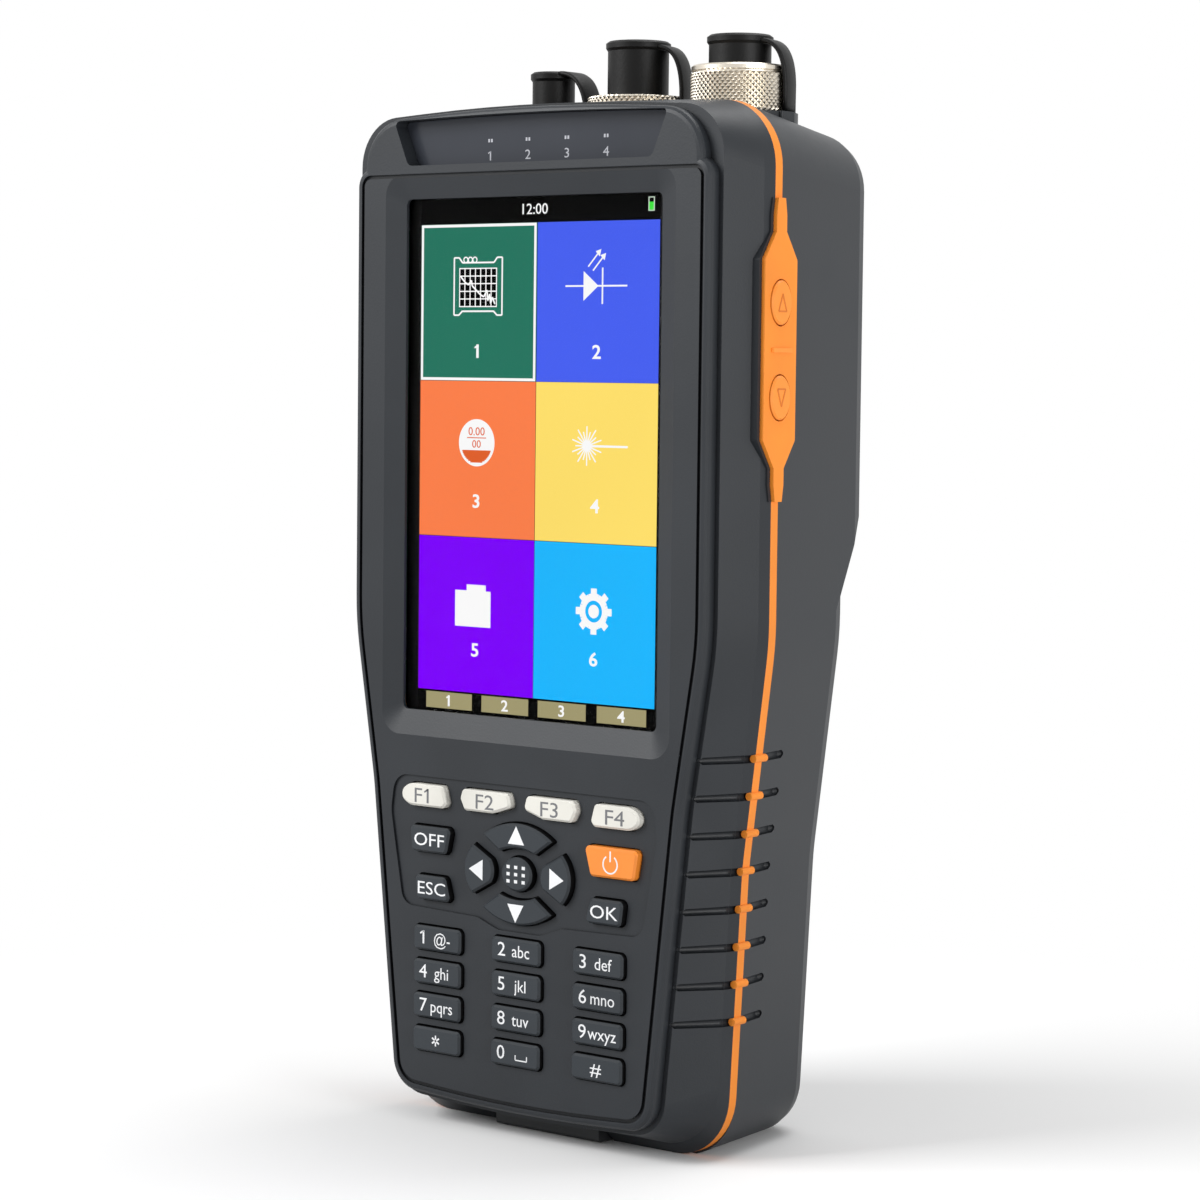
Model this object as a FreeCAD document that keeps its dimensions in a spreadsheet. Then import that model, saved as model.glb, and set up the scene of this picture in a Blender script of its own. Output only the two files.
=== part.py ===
"""Handheld optical time domain reflectometer, as separate pieces in one frame.

Frame: millimetres, +Z up, +X to the right of the person who reads the screen,
-Y towards that person.  The origin lies on the sole, on the centre line.
"""

import FreeCAD, Part
import math
import os

import Sketcher
from FreeCAD import Placement, Rotation, Vector

os.makedirs("parts", exist_ok=True)
doc = FreeCAD.newDocument("reflectometer")

# ---------------------------------------------------------------- driving sizes

SIZES = {
    # planes across the depth, as distances in front of or behind the origin
    "face_front": 25.0,            # front plane of the face
    "face_wall": 2.0,              # thickness of the face
    "flare_front": 22.5,           # where the raised face meets the flared side
    "chamfer_front": 15.0,         # where the flare meets the band along the seam
    "seam_front": 11.6,            # middle of the orange seam
    "seam_width": 2.0,
    "grip_back": 19.4,             # back of the grip
    "bulge_back": 26.4,            # back of the deeper upper half
    # seam outline, seen from the front
    "shell_half": 46.0,
    "shell_crown": 188.2,
    "shell_shoulder": 186.3,
    "shell_corner": 12.0,
    "grip_half": 40.9,
    "foot_half": 38.2,
    "foot_corner": 12.0,
    "waist_top": 92.5,
    "waist_low": 52.5,
    "waist_radius": 60.0,
    "crown_reach": 33.0,           # how far the crown's arc runs from the middle
    "sole_reach": 20.0,
    # face outline
    "face_half": 41.45,
    "face_top": 176.3,
    "face_corner": 3.5,
    "face_grip_half": 36.6,
    "face_waist_low": 63.0,
    "face_foot_half": 30.6,
    "face_foot": 5.9,
    "face_sole": 4.2,
    "face_foot_corner": 6.0,
    # brow over the face
    "brow_half": 39.5,
    "brow_crown": 187.0,
    "brow_shoulder": 184.6,
    "brow_corner": 9.0,
    "brow_low": 173.0,
    "brow_reach": 27.0,
    # draft of the rear shell, as inset at the back
    "back_side_inset": 6.2,
    "back_top_inset": 4.8,
    "back_corner": 10.0,
    "back_rounding": 6.5,
    "bulge_low": 121.0,            # where the bulge starts to step down
    "grip_high": 109.0,            # where the step has reached the grip's back
    "shell_wall": 2.4,
    "back_wall": 3.4,
    "front_rounding": 1.1,
    # face details
    "groove_inset": 1.4,
    "groove_width": 0.7,
    "groove_depth": 0.6,
    "screen_middle": 123.5,
    "screen_half": 30.0,
    "screen_half_height": 46.9,
    "screen_slope": 4.0,           # run of the slope at the sides
    "screen_slope_end": 4.6,       # and at both ends
    "screen_slope_depth": 1.4,
    "screen_corner": 1.2,
    "lens_thickness": 1.0,
    "lens_overlap": 1.2,
    "lcd_front": 21.6,
    "lcd_half": 30.9,
    "lcd_low": 71.9,
    "lcd_high": 173.0,
    "lcd_thickness": 3.4,
    "window_depth": 3.0,
    "window_thickness": 1.2,
    "window_half_top": 32.0,
    "window_half_low": 28.5,
    "window_top": 184.6,
    "window_crown": 185.5,
    "window_low": 176.4,
    "led_height": 180.5,
    "led_radius": 0.8,
    # keypad
    "key_middle": 48.8,            # height of the middle of the arrow keys
    "key_front": 26.0,
    "key_gap": 0.3,
    "key_bevel": 0.4,
    "key_flange": 0.4,
    "key_flange_front": 22.7,
    "key_flange_back": 21.9,
    "pad_depth": 0.4,              # recess that the upper keys stand in
    "number_width": 11.6,
    "number_height": 4.5,
    "number_pitch_x": 19.1,
    "number_pitch_z": 6.27,
    "number_top": 34.8,
    "mat_front": 20.7,
    "mat_thickness": 1.0,
    "mat_post": 0.35,
    "keyboard_thickness": 1.2,
    # inside
    "board_front": 14.1,
    "board_thickness": 1.6,
    "board_side_gap": 6.5,         # main board to the seam outline's widest place
    "board_foot_gap": 5.7,
    "battery_half": 18.6,
    "battery_gap": 0.3,
    "battery_low": 23.0,
    "battery_high": 93.0,
    "battery_front": 2.0,
    "cell_radius": 9.3,
    "door_half": 23.0,
    "door_low": 14.0,
    "door_high": 104.0,
    "door_thickness": 2.0,
    "door_gap": 0.2,
    "door_screw_inset": 4.0,
    # fasteners
    "boss_radius": 3.0,
    "post_radius": 4.0,
    "post_side_gap": 11.6,         # screws to the widest place of the seam outline
    "post_foot_gap": 9.6,
    "screw_radius": 1.4,
    "screw_clearance": 0.3,
    "screw_head_radius": 2.75,
    "screw_head_height": 2.2,
    "screw_seat": 6.0,             # seat of the housing screws' heads, in front of the origin
    "screw_length": 14.0,
    # ports on top
    "port_back": 6.4,
    "port_seat": 185.9,
    "port_seat_radius": 10.6,
    "vfl_seat_radius": 7.0,
    "vfl_x": -20.4,
    "opm_x": 0.0,
    "otdr_x": 23.5,
    "ferrule_radius": 1.26,
    "barrel_radius": 4.0,
    "barrel_top": 197.0,
    "stem_radius": 5.0,
    "stem_bottom": 178.0,
    "port_flange_radius": 7.6,
    "port_flange_height": 1.2,
    "nut_gap": 0.2,
    "otdr_nut_radius": 8.9,
    "otdr_nut_top": 194.4,
    "opm_nut_radius": 9.3,
    "opm_nut_top": 191.0,
    "nut_bore": 6.2,
    "cap_radius": 5.65,
    "cap_gap": 0.25,
    "cap_top": 199.9,
    "cap_bottom": 188.0,
    "vfl_barrel_radius": 2.9,
    "vfl_barrel_top": 192.5,
    "vfl_stem_radius": 3.6,
    "vfl_flange_radius": 5.4,
    "vfl_cap_radius": 4.0,
    "vfl_cap_top": 195.2,
    "vfl_cap_bottom": 187.4,
    "strap_thickness": 1.0,
    "strap_width": 3.6,
    "strap_foot": 185.9,
    "strap_reach": 10.6,           # outer side of the two wide straps from the port axis
    "vfl_strap_reach": 10.2,
    "vfl_strap_lean": 3.0,         # how far the small strap slants outwards on its way down
    "strap_bend": 4.6,
    "vfl_strap_bend": 3.0,
    # side keys and their pad
    "side_half_width": 4.6,
    "side_top": 163.7,
    "side_bottom": 122.9,
    "side_taper": 4.8,
    "side_neck_half": 1.45,
    "side_neck": 5.8,
    "side_proud": 0.8,             # face of the pad, beyond the seam outline
    "side_sunk": 1.4,              # floor of the pad's pocket, inside the seam outline
    "side_rim": 0.8,               # grey border round the orange pad
    "side_rim_drop": 0.7,
    "side_key_offset": 8.2,
    "side_key_half_height": 3.85,
    "side_key_half_width": 2.85,
    "side_key_proud": 0.4,
    "side_key_travel": 0.8,
    # grip ribs
    "rib_count": 8,
    "rib_top": 72.2,
    "rib_pitch": 6.7,
    "rib_radius": 0.75,
    "rib_front": 22.0,
    "rib_back": 3.2,
    "rib_sink": 0.15,
    # sockets and their cover in the sole
    "cover_half": 12.3,
    "cover_front": 16.6,
    "cover_back": 3.0,
    "cover_low": 0.2,
    "cover_thickness": 2.8,
    "cover_gap": 0.3,
    "trunnion_radius": 1.3,
    "trunnion_length": 1.4,
    "bay_roof": 5.6,
    "socket_top": 17.0,
    "socket_back": -6.2,           # line of both sockets
    "dc_x": 5.5,
    "usb_x": -5.5,
    "dc_barrel_radius": 3.6,
    "dc_bore_radius": 2.75,
    "dc_pin_radius": 1.05,
}

sheet = doc.addObject("Spreadsheet::Sheet", "Sizes")
for row, (alias, value) in enumerate(SIZES.items(), start=1):
    sheet.set(f"A{row}", alias)
    sheet.set(f"B{row}", str(value))
    sheet.setAlias(f"B{row}", alias)
doc.recompute()


def size(alias):
    """A driving size, read back from the sheet."""
    return float(sheet.get(alias))


# ---------------------------------------------------------------- outlines


def rounded(corners):
    """Closed outline through (x, y, radius) corners, as lines and tangent arcs."""
    stops = []
    for index, (x, y, radius) in enumerate(corners):
        before = corners[index - 1]
        after = corners[(index + 1) % len(corners)]
        here = Vector(x, y, 0)
        back = (Vector(before[0], before[1], 0) - here).normalize()
        forth = (Vector(after[0], after[1], 0) - here).normalize()
        half = back.getAngle(forth) / 2
        if radius == 0:
            stops.append((here, None, here))
            continue
        reach = radius / math.tan(half)
        inward = (back + forth).normalize()
        middle = here + inward * (radius / math.sin(half) - radius)
        stops.append((here + back * reach, middle, here + forth * reach))
    edges = []
    for index, (start, middle, end) in enumerate(stops):
        if middle is not None:
            edges.append(Part.Arc(start, middle, end))
        edges.append(Part.LineSegment(end, stops[(index + 1) % len(stops)][0]))
    return edges


def crown_radius(rise, half, reach):
    """Radius of the arc that rounds an outline's middle corner over +-reach."""
    return reach / math.tan(math.atan(rise / half))


def both_sides(middle_top, right, middle_low):
    """Corners of a symmetrical outline: top middle, right side, bottom middle, left side."""
    left = [(-x, z, radius) for x, z, radius in reversed(right)]
    return [middle_top, *right, middle_low, *left]


def shell_side(inset=0.0):
    """Right-hand corners of the seam outline between shoulder and foot."""
    return [
        (size("shell_half") - inset, size("waist_top"), size("waist_radius")),
        (size("grip_half") - inset, size("waist_low"), size("waist_radius")),
    ]


def shell_outline(side=0.0, top=0.0, sole=0.0, corner=0.0):
    """Seam outline, drawn in at the sides, the top and the sole."""
    rise = size("shell_crown") - size("shell_shoulder")
    crown = crown_radius(rise, size("shell_half"), size("crown_reach") - side)
    shoulder = (
        size("shell_half") - side,
        size("shell_shoulder") - top,
        size("shell_corner") - corner,
    )
    flat = 0.02
    foot = (size("foot_half") - side, sole + flat, size("foot_corner") - corner)
    return both_sides(
        (0, size("shell_crown") - top, crown),
        [shoulder, *shell_side(side), foot],
        (0, sole, crown_radius(flat, foot[0], size("sole_reach"))),
    )


def face_outline(inset=0.0, top=None, top_corner=None):
    """Outline of the raised face, drawn in by inset; top sets its upper edge."""
    high = size("face_top") - inset if top is None else top
    corner = size("face_corner") if top_corner is None else top_corner
    rise = size("face_foot") - size("face_sole")
    foot_half = size("face_foot_half") - inset
    return both_sides(
        (0, high + 0.02, crown_radius(0.02, size("face_half"), size("crown_reach"))),
        [
            (size("face_half") - inset, high, max(corner - inset, 0.8)),
            (size("face_half") - inset, size("waist_top"), size("waist_radius")),
            (size("face_grip_half") - inset, size("face_waist_low"), size("waist_radius")),
            (foot_half, size("face_foot") + inset, size("face_foot_corner") - inset),
        ],
        (0, size("face_sole") + inset, crown_radius(rise, foot_half, size("sole_reach"))),
    )


def brow_outline(inset=0.0):
    """Outline of the brow over the face; its lower edge lies inside the face."""
    half = size("brow_half") - inset
    rise = size("brow_crown") - size("brow_shoulder")
    crown = crown_radius(rise, size("brow_half"), size("brow_reach") - inset)
    shoulder = size("brow_shoulder") - inset
    corner = size("brow_corner") - inset
    return [
        (0, size("brow_crown") - inset, crown),
        (half, shoulder, corner),
        (half, size("brow_low"), 0),
        (-half, size("brow_low"), 0),
        (-half, shoulder, corner),
    ]


def flare_outline(outset):
    """Where the flared side reaches the face: the face's outline with the brow's top."""
    corners = face_outline(-outset)
    rise = size("brow_crown") - size("brow_shoulder")
    half = size("face_half") + outset
    crown = crown_radius(rise, half, size("brow_reach"))
    corners[0] = (0, size("brow_crown") + outset / 2, crown)
    corners[1] = (half, size("brow_shoulder") + outset / 2, size("brow_corner"))
    corners[-1] = (-half, size("brow_shoulder") + outset / 2, size("brow_corner"))
    return corners


def half_at(outline, height):
    """Half width of an outline's straight sides at a height."""
    right = [corner for corner in outline if corner[0] > 1]
    for upper, lower in zip(right, right[1:]):
        if lower[1] <= height <= upper[1]:
            share = (upper[1] - height) / (upper[1] - lower[1])
            return upper[0] + (lower[0] - upper[0]) * share
    raise ValueError(f"no side at height {height}")


def box_outline(half_x, low, high, radius=0.0, middle=0.0):
    """Upright rectangle about a middle line."""
    return [
        (middle - half_x, low, radius),
        (middle + half_x, low, radius),
        (middle + half_x, high, radius),
        (middle - half_x, high, radius),
    ]


# ---------------------------------------------------------------- features

PIECES = []


def new_body(name, piece=True):
    """An empty body; a piece is written to parts/ at the end."""
    body = doc.addObject("PartDesign::Body", name if piece else name + "_body")
    body.Label = name if piece else name + "_body"
    if piece:
        PIECES.append(body)
    return body


def origin_plane(body, role):
    for feature in body.Origin.OriginFeatures:
        if feature.Role == role:
            return feature
    raise LookupError(role)


def sketch_on(body, name, role, edges, offset="0"):
    """Sketch on one of the body's origin planes, moved along its normal."""
    sketch = body.newObject("Sketcher::SketchObject", f"{body.Name}_{name}")
    sketch.AttachmentSupport = [(origin_plane(body, role), "")]
    sketch.MapMode = "FlatFace"
    sketch.setExpression("AttachmentOffset.Base.z", offset)
    sketch.addGeometry(edges, False)
    return sketch


def front_sketch(body, name, edges, offset):
    """Sketch in X and Z, facing the reader, the given distance in front of the origin."""
    return sketch_on(body, name, "XZ_Plane", edges, offset)


def circle(radius_alias, x, y):
    """Circle and the size that its radius follows."""
    return Part.Circle(Vector(x, y, 0), Vector(0, 0, 1), size(radius_alias))


def bind_radius(sketch, alias):
    """Every circle of the sketch takes its radius from the sheet."""
    for index, edge in enumerate(sketch.Geometry):
        if isinstance(edge, Part.Circle):
            number = sketch.addConstraint(Sketcher.Constraint("Radius", index, edge.Radius))
            sketch.setExpression(f"Constraints[{number}]", f"Sizes.{alias}")


def pad(body, sketch, length, reverse=False):
    feature = body.newObject("PartDesign::Pad", f"{sketch.Name}_pad")
    feature.Profile = sketch
    feature.setExpression("Length", length)
    feature.Reversed = reverse
    return feature


def pocket(body, sketch, length, reverse=False):
    feature = body.newObject("PartDesign::Pocket", f"{sketch.Name}_pocket")
    feature.Profile = sketch
    feature.setExpression("Length", length)
    feature.Reversed = reverse
    return feature


def loft(body, sketches, cut=False):
    kind = "PartDesign::SubtractiveLoft" if cut else "PartDesign::AdditiveLoft"
    feature = body.newObject(kind, f"{sketches[0].Name}_loft")
    feature.Profile = sketches[0]
    feature.Sections = sketches[1:]
    feature.Ruled = True
    return feature


def revolve(body, corners, name="profile"):
    """Solid of revolution about Z from (radius, height) corners."""
    points = [(radius, height, 0) for radius, height in corners]
    sketch = front_sketch(body, name, rounded(points), "0")
    feature = body.newObject("PartDesign::Revolution", f"{sketch.Name}_revolution")
    feature.Profile = sketch
    feature.ReferenceAxis = (sketch, ["V_Axis"])
    feature.Angle = 360
    return feature


def edges_where(shape, test):
    """Names of the edges whose both ends and middle pass a test."""
    names = []
    for index, edge in enumerate(shape.Edges, start=1):
        first, last = edge.ParameterRange
        points = [edge.valueAt(first + (last - first) * share) for share in (0.02, 0.5, 0.98)]
        if all(test(point) for point in points):
            names.append(f"Edge{index}")
    return names


def bevel_edges(body, test, width):
    """Chamfer on the edges of the body's tip that pass a test."""
    doc.recompute()
    base = body.Tip
    bevel = body.newObject("PartDesign::Chamfer", f"{base.Name}_bevel")
    bevel.Base = (base, edges_where(base.Shape, test))
    bevel.setExpression("Size", width)
    doc.recompute()
    return bevel


def crowned(body, name, outline, start, front, radius):
    """Pad with a rounded front edge: outline(inset) at a start plane, then steps of an arc."""
    steps = 3
    sketches = [front_sketch(body, f"{name}_base", rounded(outline(0.0)), start)]
    for index in range(steps + 1):
        turn = math.radians(90 * index / steps)
        behind = 1 - math.sin(turn)
        edges = rounded(outline(size(radius) * (1 - math.cos(turn))))
        plane = f"Sizes.{front} - Sizes.{radius} * {behind:.6f}"
        sketches.append(front_sketch(body, f"{name}_step{index}", edges, plane))
    return loft(body, sketches)


def boolean(kind, name, base, tool, piece=True):
    """Part boolean of two objects, as a piece of its own."""
    result = doc.addObject(kind, name)
    result.Label = name
    result.Base = base
    result.Tool = tool
    if piece:
        PIECES.append(result)
    return result


def computed(name, shape, piece=True):
    """A shape made by Part's own functions."""
    feature = doc.addObject("Part::Feature", name)
    feature.Shape = shape
    feature.Label = name
    if piece:
        PIECES.append(feature)
    return feature


# ---------------------------------------------------------------- shared places

SCREWS = [
    (size("shell_half") - size("post_side_gap"), 168.0),
    (size("shell_half") - size("post_side_gap"), 88.0),
    (size("foot_half") - size("post_foot_gap"), 24.0),
]
SCREW_PLACES = [(side * x, z) for x, z in SCREWS for side in (-1, 1)]
DOOR_SCREWS = [
    size("door_low") + size("door_screw_inset"),
    size("door_high") - size("door_screw_inset"),
]
LED_PLACES = [-11.1, -2.2, 6.9, 15.9]
FRONT_SEAM = "Sizes.seam_front + Sizes.seam_width / 2"
REAR_SEAM = "Sizes.seam_front - Sizes.seam_width / 2"
SIDE_FACE = "Sizes.shell_half + Sizes.side_proud"
SIDE_FLOOR = "Sizes.shell_half - Sizes.side_sunk"
SIDE_DEPTH = "Sizes.side_proud + Sizes.side_sunk"
seam_rear_y = -(size("seam_front") - size("seam_width") / 2)


def key_outlines():
    """Outline corners of every key, by name, about the middle of the arrow keys."""
    low = 0.9
    keys = {
        "key_f1": [(-29.3, 12.3, 1.5), (-26.4, 14.4, 3.6), (-18.0, 14.4, low),
                   (-17.1, 11.2, low), (-18.0, 10.3, low), (-26.4, 10.3, 3.6)],
        "key_f2": [(-13.8, 12.6, low), (-13.2, 14.4, low), (-2.2, 14.4, low),
                   (-1.5, 11.9, low), (-6.0, 10.5, 1.2), (-12.7, 10.5, low)],
        "key_off": [(-26.1, 6.7, low), (-16.0, 6.7, low), (-17.1, 1.9, low), (-25.6, 1.9, low)],
        "key_esc": [(-24.8, -2.4, low), (-17.3, -2.4, low), (-16.0, -6.9, low), (-24.2, -6.9, low)],
    }
    mirrored = {"key_f1": "key_f4", "key_f2": "key_f3", "key_esc": "key_ok"}
    for source, name in mirrored.items():
        keys[name] = [(-x, z, radius) for x, z, radius in reversed(keys[source])]
    keys["key_power"] = [(15.7, 6.9, low), (28.0, 6.9, low), (27.1, 1.5, low), (17.2, 1.5, low)]
    names = [["key_1", "key_2", "key_3"], ["key_4", "key_5", "key_6"],
             ["key_7", "key_8", "key_9"], ["key_star", "key_0", "key_hash"]]
    for row, line in enumerate(names):
        height = size("number_top") - row * size("number_pitch_z") - size("key_middle")
        for column, name in enumerate(line):
            keys[name] = box_outline(
                size("number_width") / 2,
                height - size("number_height") / 2,
                height + size("number_height") / 2,
                low,
                (column - 1) * size("number_pitch_x"),
            )
    lift = size("key_middle")
    return {
        name: rounded([(x, z + lift, radius) for x, z, radius in corners])
        for name, corners in keys.items()
    }


def arrow_outlines():
    """Outlines of the four arrow keys: arcs of one wide ellipse round the middle key."""
    lift = size("key_middle")

    def place(x, z):
        return Vector(x, z + lift, 0)

    def sector(outer, inner):
        return [
            Part.Arc(*[place(*point) for point in outer]),
            Part.LineSegment(place(*outer[2]), place(*inner[0])),
            Part.Arc(*[place(*point) for point in inner]),
            Part.LineSegment(place(*inner[2]), place(*outer[0])),
        ]

    up = sector([(-8.2, 6.6), (0, 9.2), (8.2, 6.6)], [(4.2, 3.9), (0, 4.7), (-4.2, 3.9)])
    down = sector([(8.2, -6.6), (0, -9.2), (-8.2, -6.6)], [(-4.2, -3.9), (0, -4.7), (4.2, -3.9)])
    left = sector([(-10.6, -4.5), (-12.6, 0), (-10.6, 4.5)], [(-6.2, 2.1), (-5.5, 0), (-6.2, -2.1)])
    right = sector([(10.6, 4.5), (12.6, 0), (10.6, -4.5)], [(6.2, -2.1), (5.5, 0), (6.2, 2.1)])
    middle = [Part.Ellipse(place(3.6, 0), place(0, 3.1), place(0, 0))]
    return {
        "key_up": up,
        "key_down": down,
        "key_left": left,
        "key_right": right,
        "key_center": middle,
    }


KEYS = {**key_outlines(), **arrow_outlines()}


def grown(edges, distance):
    """The same outline, moved outwards."""
    if isinstance(edges[0], Part.Ellipse):
        oval = edges[0]
        wide = oval.Center + Vector(oval.MajorRadius + distance, 0, 0)
        high = oval.Center + Vector(0, oval.MinorRadius + distance, 0)
        return [Part.Ellipse(wide, high, oval.Center)]
    wire = Part.Wire(Part.__sortEdges__([edge.toShape() for edge in edges]))
    result = []
    for edge in wire.makeOffset2D(distance).Edges:
        if isinstance(edge.Curve, Part.Line):
            result.append(Part.LineSegment(edge.valueAt(edge.FirstParameter),
                                           edge.valueAt(edge.LastParameter)))
        else:
            result.append(Part.ArcOfCircle(edge.Curve, edge.FirstParameter, edge.LastParameter))
    return result


def side_pad_outline(grow=0.0):
    """Long hexagon with a neck at each end, in Y and Z, about the seam."""
    middle = -size("seam_front")
    half = size("side_half_width") + grow
    neck = size("side_neck_half") + grow
    top = size("side_top")
    low = size("side_bottom")
    taper = size("side_taper")
    reach = size("side_neck")
    tip = size("seam_width") / 2 + grow
    right = [
        (tip, top + reach, 0),
        (neck, top + reach / 2, 0),
        (neck, top, 0),
        (half, top - taper, 1.0),
        (half, low + taper, 1.0),
        (neck, low, 0),
        (neck, low - reach / 2, 0),
        (tip, low - reach, 0),
    ]
    left = [(-y, z, radius) for y, z, radius in reversed(right)]
    return [(middle + y, z, radius) for y, z, radius in right + left]


def rib_heights():
    return [size("rib_top") - index * size("rib_pitch") for index in range(int(size("rib_count")))]


def rib_cutters():
    """Grooves with tapered ends across both sides of the grip, along the flared surfaces."""
    radius = size("rib_radius")
    sink = size("rib_sink")
    seam = shell_outline()
    flare = flare_outline(0.9)
    drop = size("back_side_inset") / (size("bulge_back") + size("seam_front"))
    cutters = []
    for height in rib_heights():
        seam_half = half_at(seam, height) - sink
        flare_half = half_at(flare, height) - sink
        back = -size("rib_back")
        rear_half = seam_half - (back + size("seam_front")) * drop
        chamfer_half = seam_half - 0.6
        for side in (-1, 1):
            route = [
                Vector(side * flare_half, -size("rib_front"), height),
                Vector(side * chamfer_half, -size("chamfer_front"), height),
                Vector(side * seam_half, -size("seam_front"), height),
                Vector(side * rear_half, back, height),
            ]
            for start, end in zip(route, route[1:]):
                run = end - start
                cutters.append(Part.makeCylinder(radius, run.Length, start, run))
            for end, before in ((route[0], route[1]), (route[-1], route[-2])):
                cutters.append(Part.makeCone(radius, radius / 3, radius, end, end - before))
    return cutters[0].multiFuse(cutters[1:])


# ---------------------------------------------------------------- housing


def bottom_bay(body, seam, low, depth, forward):
    """Walls and roof round the sockets' bay in the sole."""
    block = box_outline(size("cover_half") + 3.0, low, size("bay_roof"))
    slab = front_sketch(body, "bay", rounded(block), seam)
    pad(body, slab, depth, reverse=not forward)


def bay_recess(body, start, length):
    """Recess for the port cover, from a plane backwards."""
    low = size("cover_low") + size("cover_thickness") + size("cover_gap")
    room = box_outline(size("cover_half") + size("cover_gap"), -3.0, low)
    pocket(body, front_sketch(body, "cover_recess", rounded(room), start), length)


def front_shell():
    body = new_body("front_shell", piece=False)
    seam = front_sketch(body, "seam", rounded(shell_outline(sole=0.0)), FRONT_SEAM)
    chamfer = front_sketch(
        body, "chamfer", rounded(shell_outline(0.6, 0.3, 2.2)), "Sizes.chamfer_front")
    flare = front_sketch(body, "flare", rounded(flare_outline(0.9)), "Sizes.flare_front")
    loft(body, [seam, chamfer, flare])
    crowned(body, "face", face_outline, "Sizes.flare_front", "face_front", "front_rounding")
    crowned(body, "brow", brow_outline, "Sizes.flare_front", "face_front", "front_rounding")

    # cavity: wide behind, then up to the face between the brow and the sole
    wall = size("shell_wall")
    open_seam = front_sketch(
        body, "cavity_seam", rounded(shell_outline(wall, wall, wall, wall)), FRONT_SEAM)
    open_flare = front_sketch(
        body, "cavity_flare", rounded(flare_outline(-0.6)), "Sizes.face_front - 6")
    loft(body, [open_seam, open_flare], cut=True)
    deep = front_sketch(
        body, "cavity_face",
        rounded(face_outline(wall, top=size("window_low") - 1.0, top_corner=5.0)),
        "Sizes.face_front - Sizes.face_wall")
    pocket(body, deep, "4.2")

    # bosses that carry the main board and take the housing screws
    places = [circle("boss_radius", x, z) for x, z in SCREW_PLACES]
    bosses = front_sketch(body, "bosses", places, "Sizes.board_front")
    bind_radius(bosses, "boss_radius")
    pad(body, bosses, "Sizes.face_front - Sizes.face_wall / 2 - Sizes.board_front")
    holes = [circle("screw_radius", x, z) for x, z in SCREW_PLACES]
    drilled(body, "screw_holes", holes, "Sizes.board_front",
            "Sizes.screw_length + Sizes.screw_seat + 0.5 - Sizes.board_front",
            "Sizes.screw_radius + 0.05")

    # port cover's bay in the sole
    bottom_bay(body, FRONT_SEAM, 2.8, "5", True)
    bay_recess(body, "Sizes.cover_front + Sizes.cover_gap", "8")

    # groove round the face
    inset = size("groove_inset")
    ring = rounded(face_outline(inset)) + rounded(face_outline(inset + size("groove_width")))
    pocket(body, front_sketch(body, "groove", ring, "Sizes.face_front"), "Sizes.groove_depth")

    # screen: a slope down to a lip, open behind it
    middle = size("screen_middle")
    slope = size("screen_slope")
    wide = size("screen_half")
    high = size("screen_half_height")
    end = high + size("screen_slope_end")
    mouth = box_outline(wide + slope, middle - end, middle + end, size("screen_corner") + 3)
    lip = box_outline(wide, middle - high, middle + high, size("screen_corner"))
    outer = front_sketch(body, "screen_mouth", rounded(mouth), "Sizes.face_front")
    inner = front_sketch(
        body, "screen_lip", rounded(lip), "Sizes.face_front - Sizes.screen_slope_depth")
    loft(body, [outer, inner], cut=True)
    through = front_sketch(body, "screen_open", rounded(lip), "Sizes.face_front")
    pocket(body, through, "Sizes.face_wall + 0.5")

    # indicator window in the brow
    pocket(body, front_sketch(body, "window", rounded(window_outline()), "Sizes.face_front"),
           "Sizes.window_depth + Sizes.window_thickness")
    leds = [circle("led_radius", x, size("led_height")) for x in LED_PLACES]
    sockets = front_sketch(body, "led_holes", leds, "Sizes.face_front - Sizes.window_depth")
    for index in range(len(leds)):
        number = sockets.addConstraint(Sketcher.Constraint("Radius", index, size("led_radius")))
        sockets.setExpression(f"Constraints[{number}]", "Sizes.led_radius + 0.1")
    pocket(body, sockets, "6")

    # recess of the upper keys, then a hole for every key
    pocket(body, front_sketch(body, "key_recess", rounded(key_recess()), "Sizes.face_front"),
           "Sizes.pad_depth")
    key_holes = []
    for edges in KEYS.values():
        key_holes += grown(edges, size("key_gap"))
    pocket(body, front_sketch(body, "key_holes", key_holes, "Sizes.face_front"),
           "Sizes.face_wall + 0.5")
    side_platform(body, -1)
    return boolean("Part::Cut", "front_shell", body, RIBS)


def window_outline(inset=0.0):
    """Indicator window: a trapezium under the brow's arch."""
    half = size("window_half_top") - inset
    rise = size("window_crown") - size("window_top")
    return [
        (0, size("window_crown") - inset, crown_radius(rise, half, 26.0)),
        (half, size("window_top") - inset, 0.8),
        (size("window_half_low") - inset, size("window_low") + inset, 1.5),
        (-size("window_half_low") + inset, size("window_low") + inset, 1.5),
        (-half, size("window_top") - inset, 0.8),
    ]


def key_recess():
    """Shallow recess round the upper keys, with a bow under the arrow keys."""
    lift = size("key_middle")
    right = [
        (30.6, 15.8, 3.5),
        (31.6, 9.0, 8.0),
        (28.4, -8.4, 3.0),
        (10.0, -8.9, 3.0),
        (5.0, -10.7, 4.0),
    ]
    left = [(-x, z, radius) for x, z, radius in reversed(right)]
    return [(x, z + lift, radius) for x, z, radius in right + left]


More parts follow.
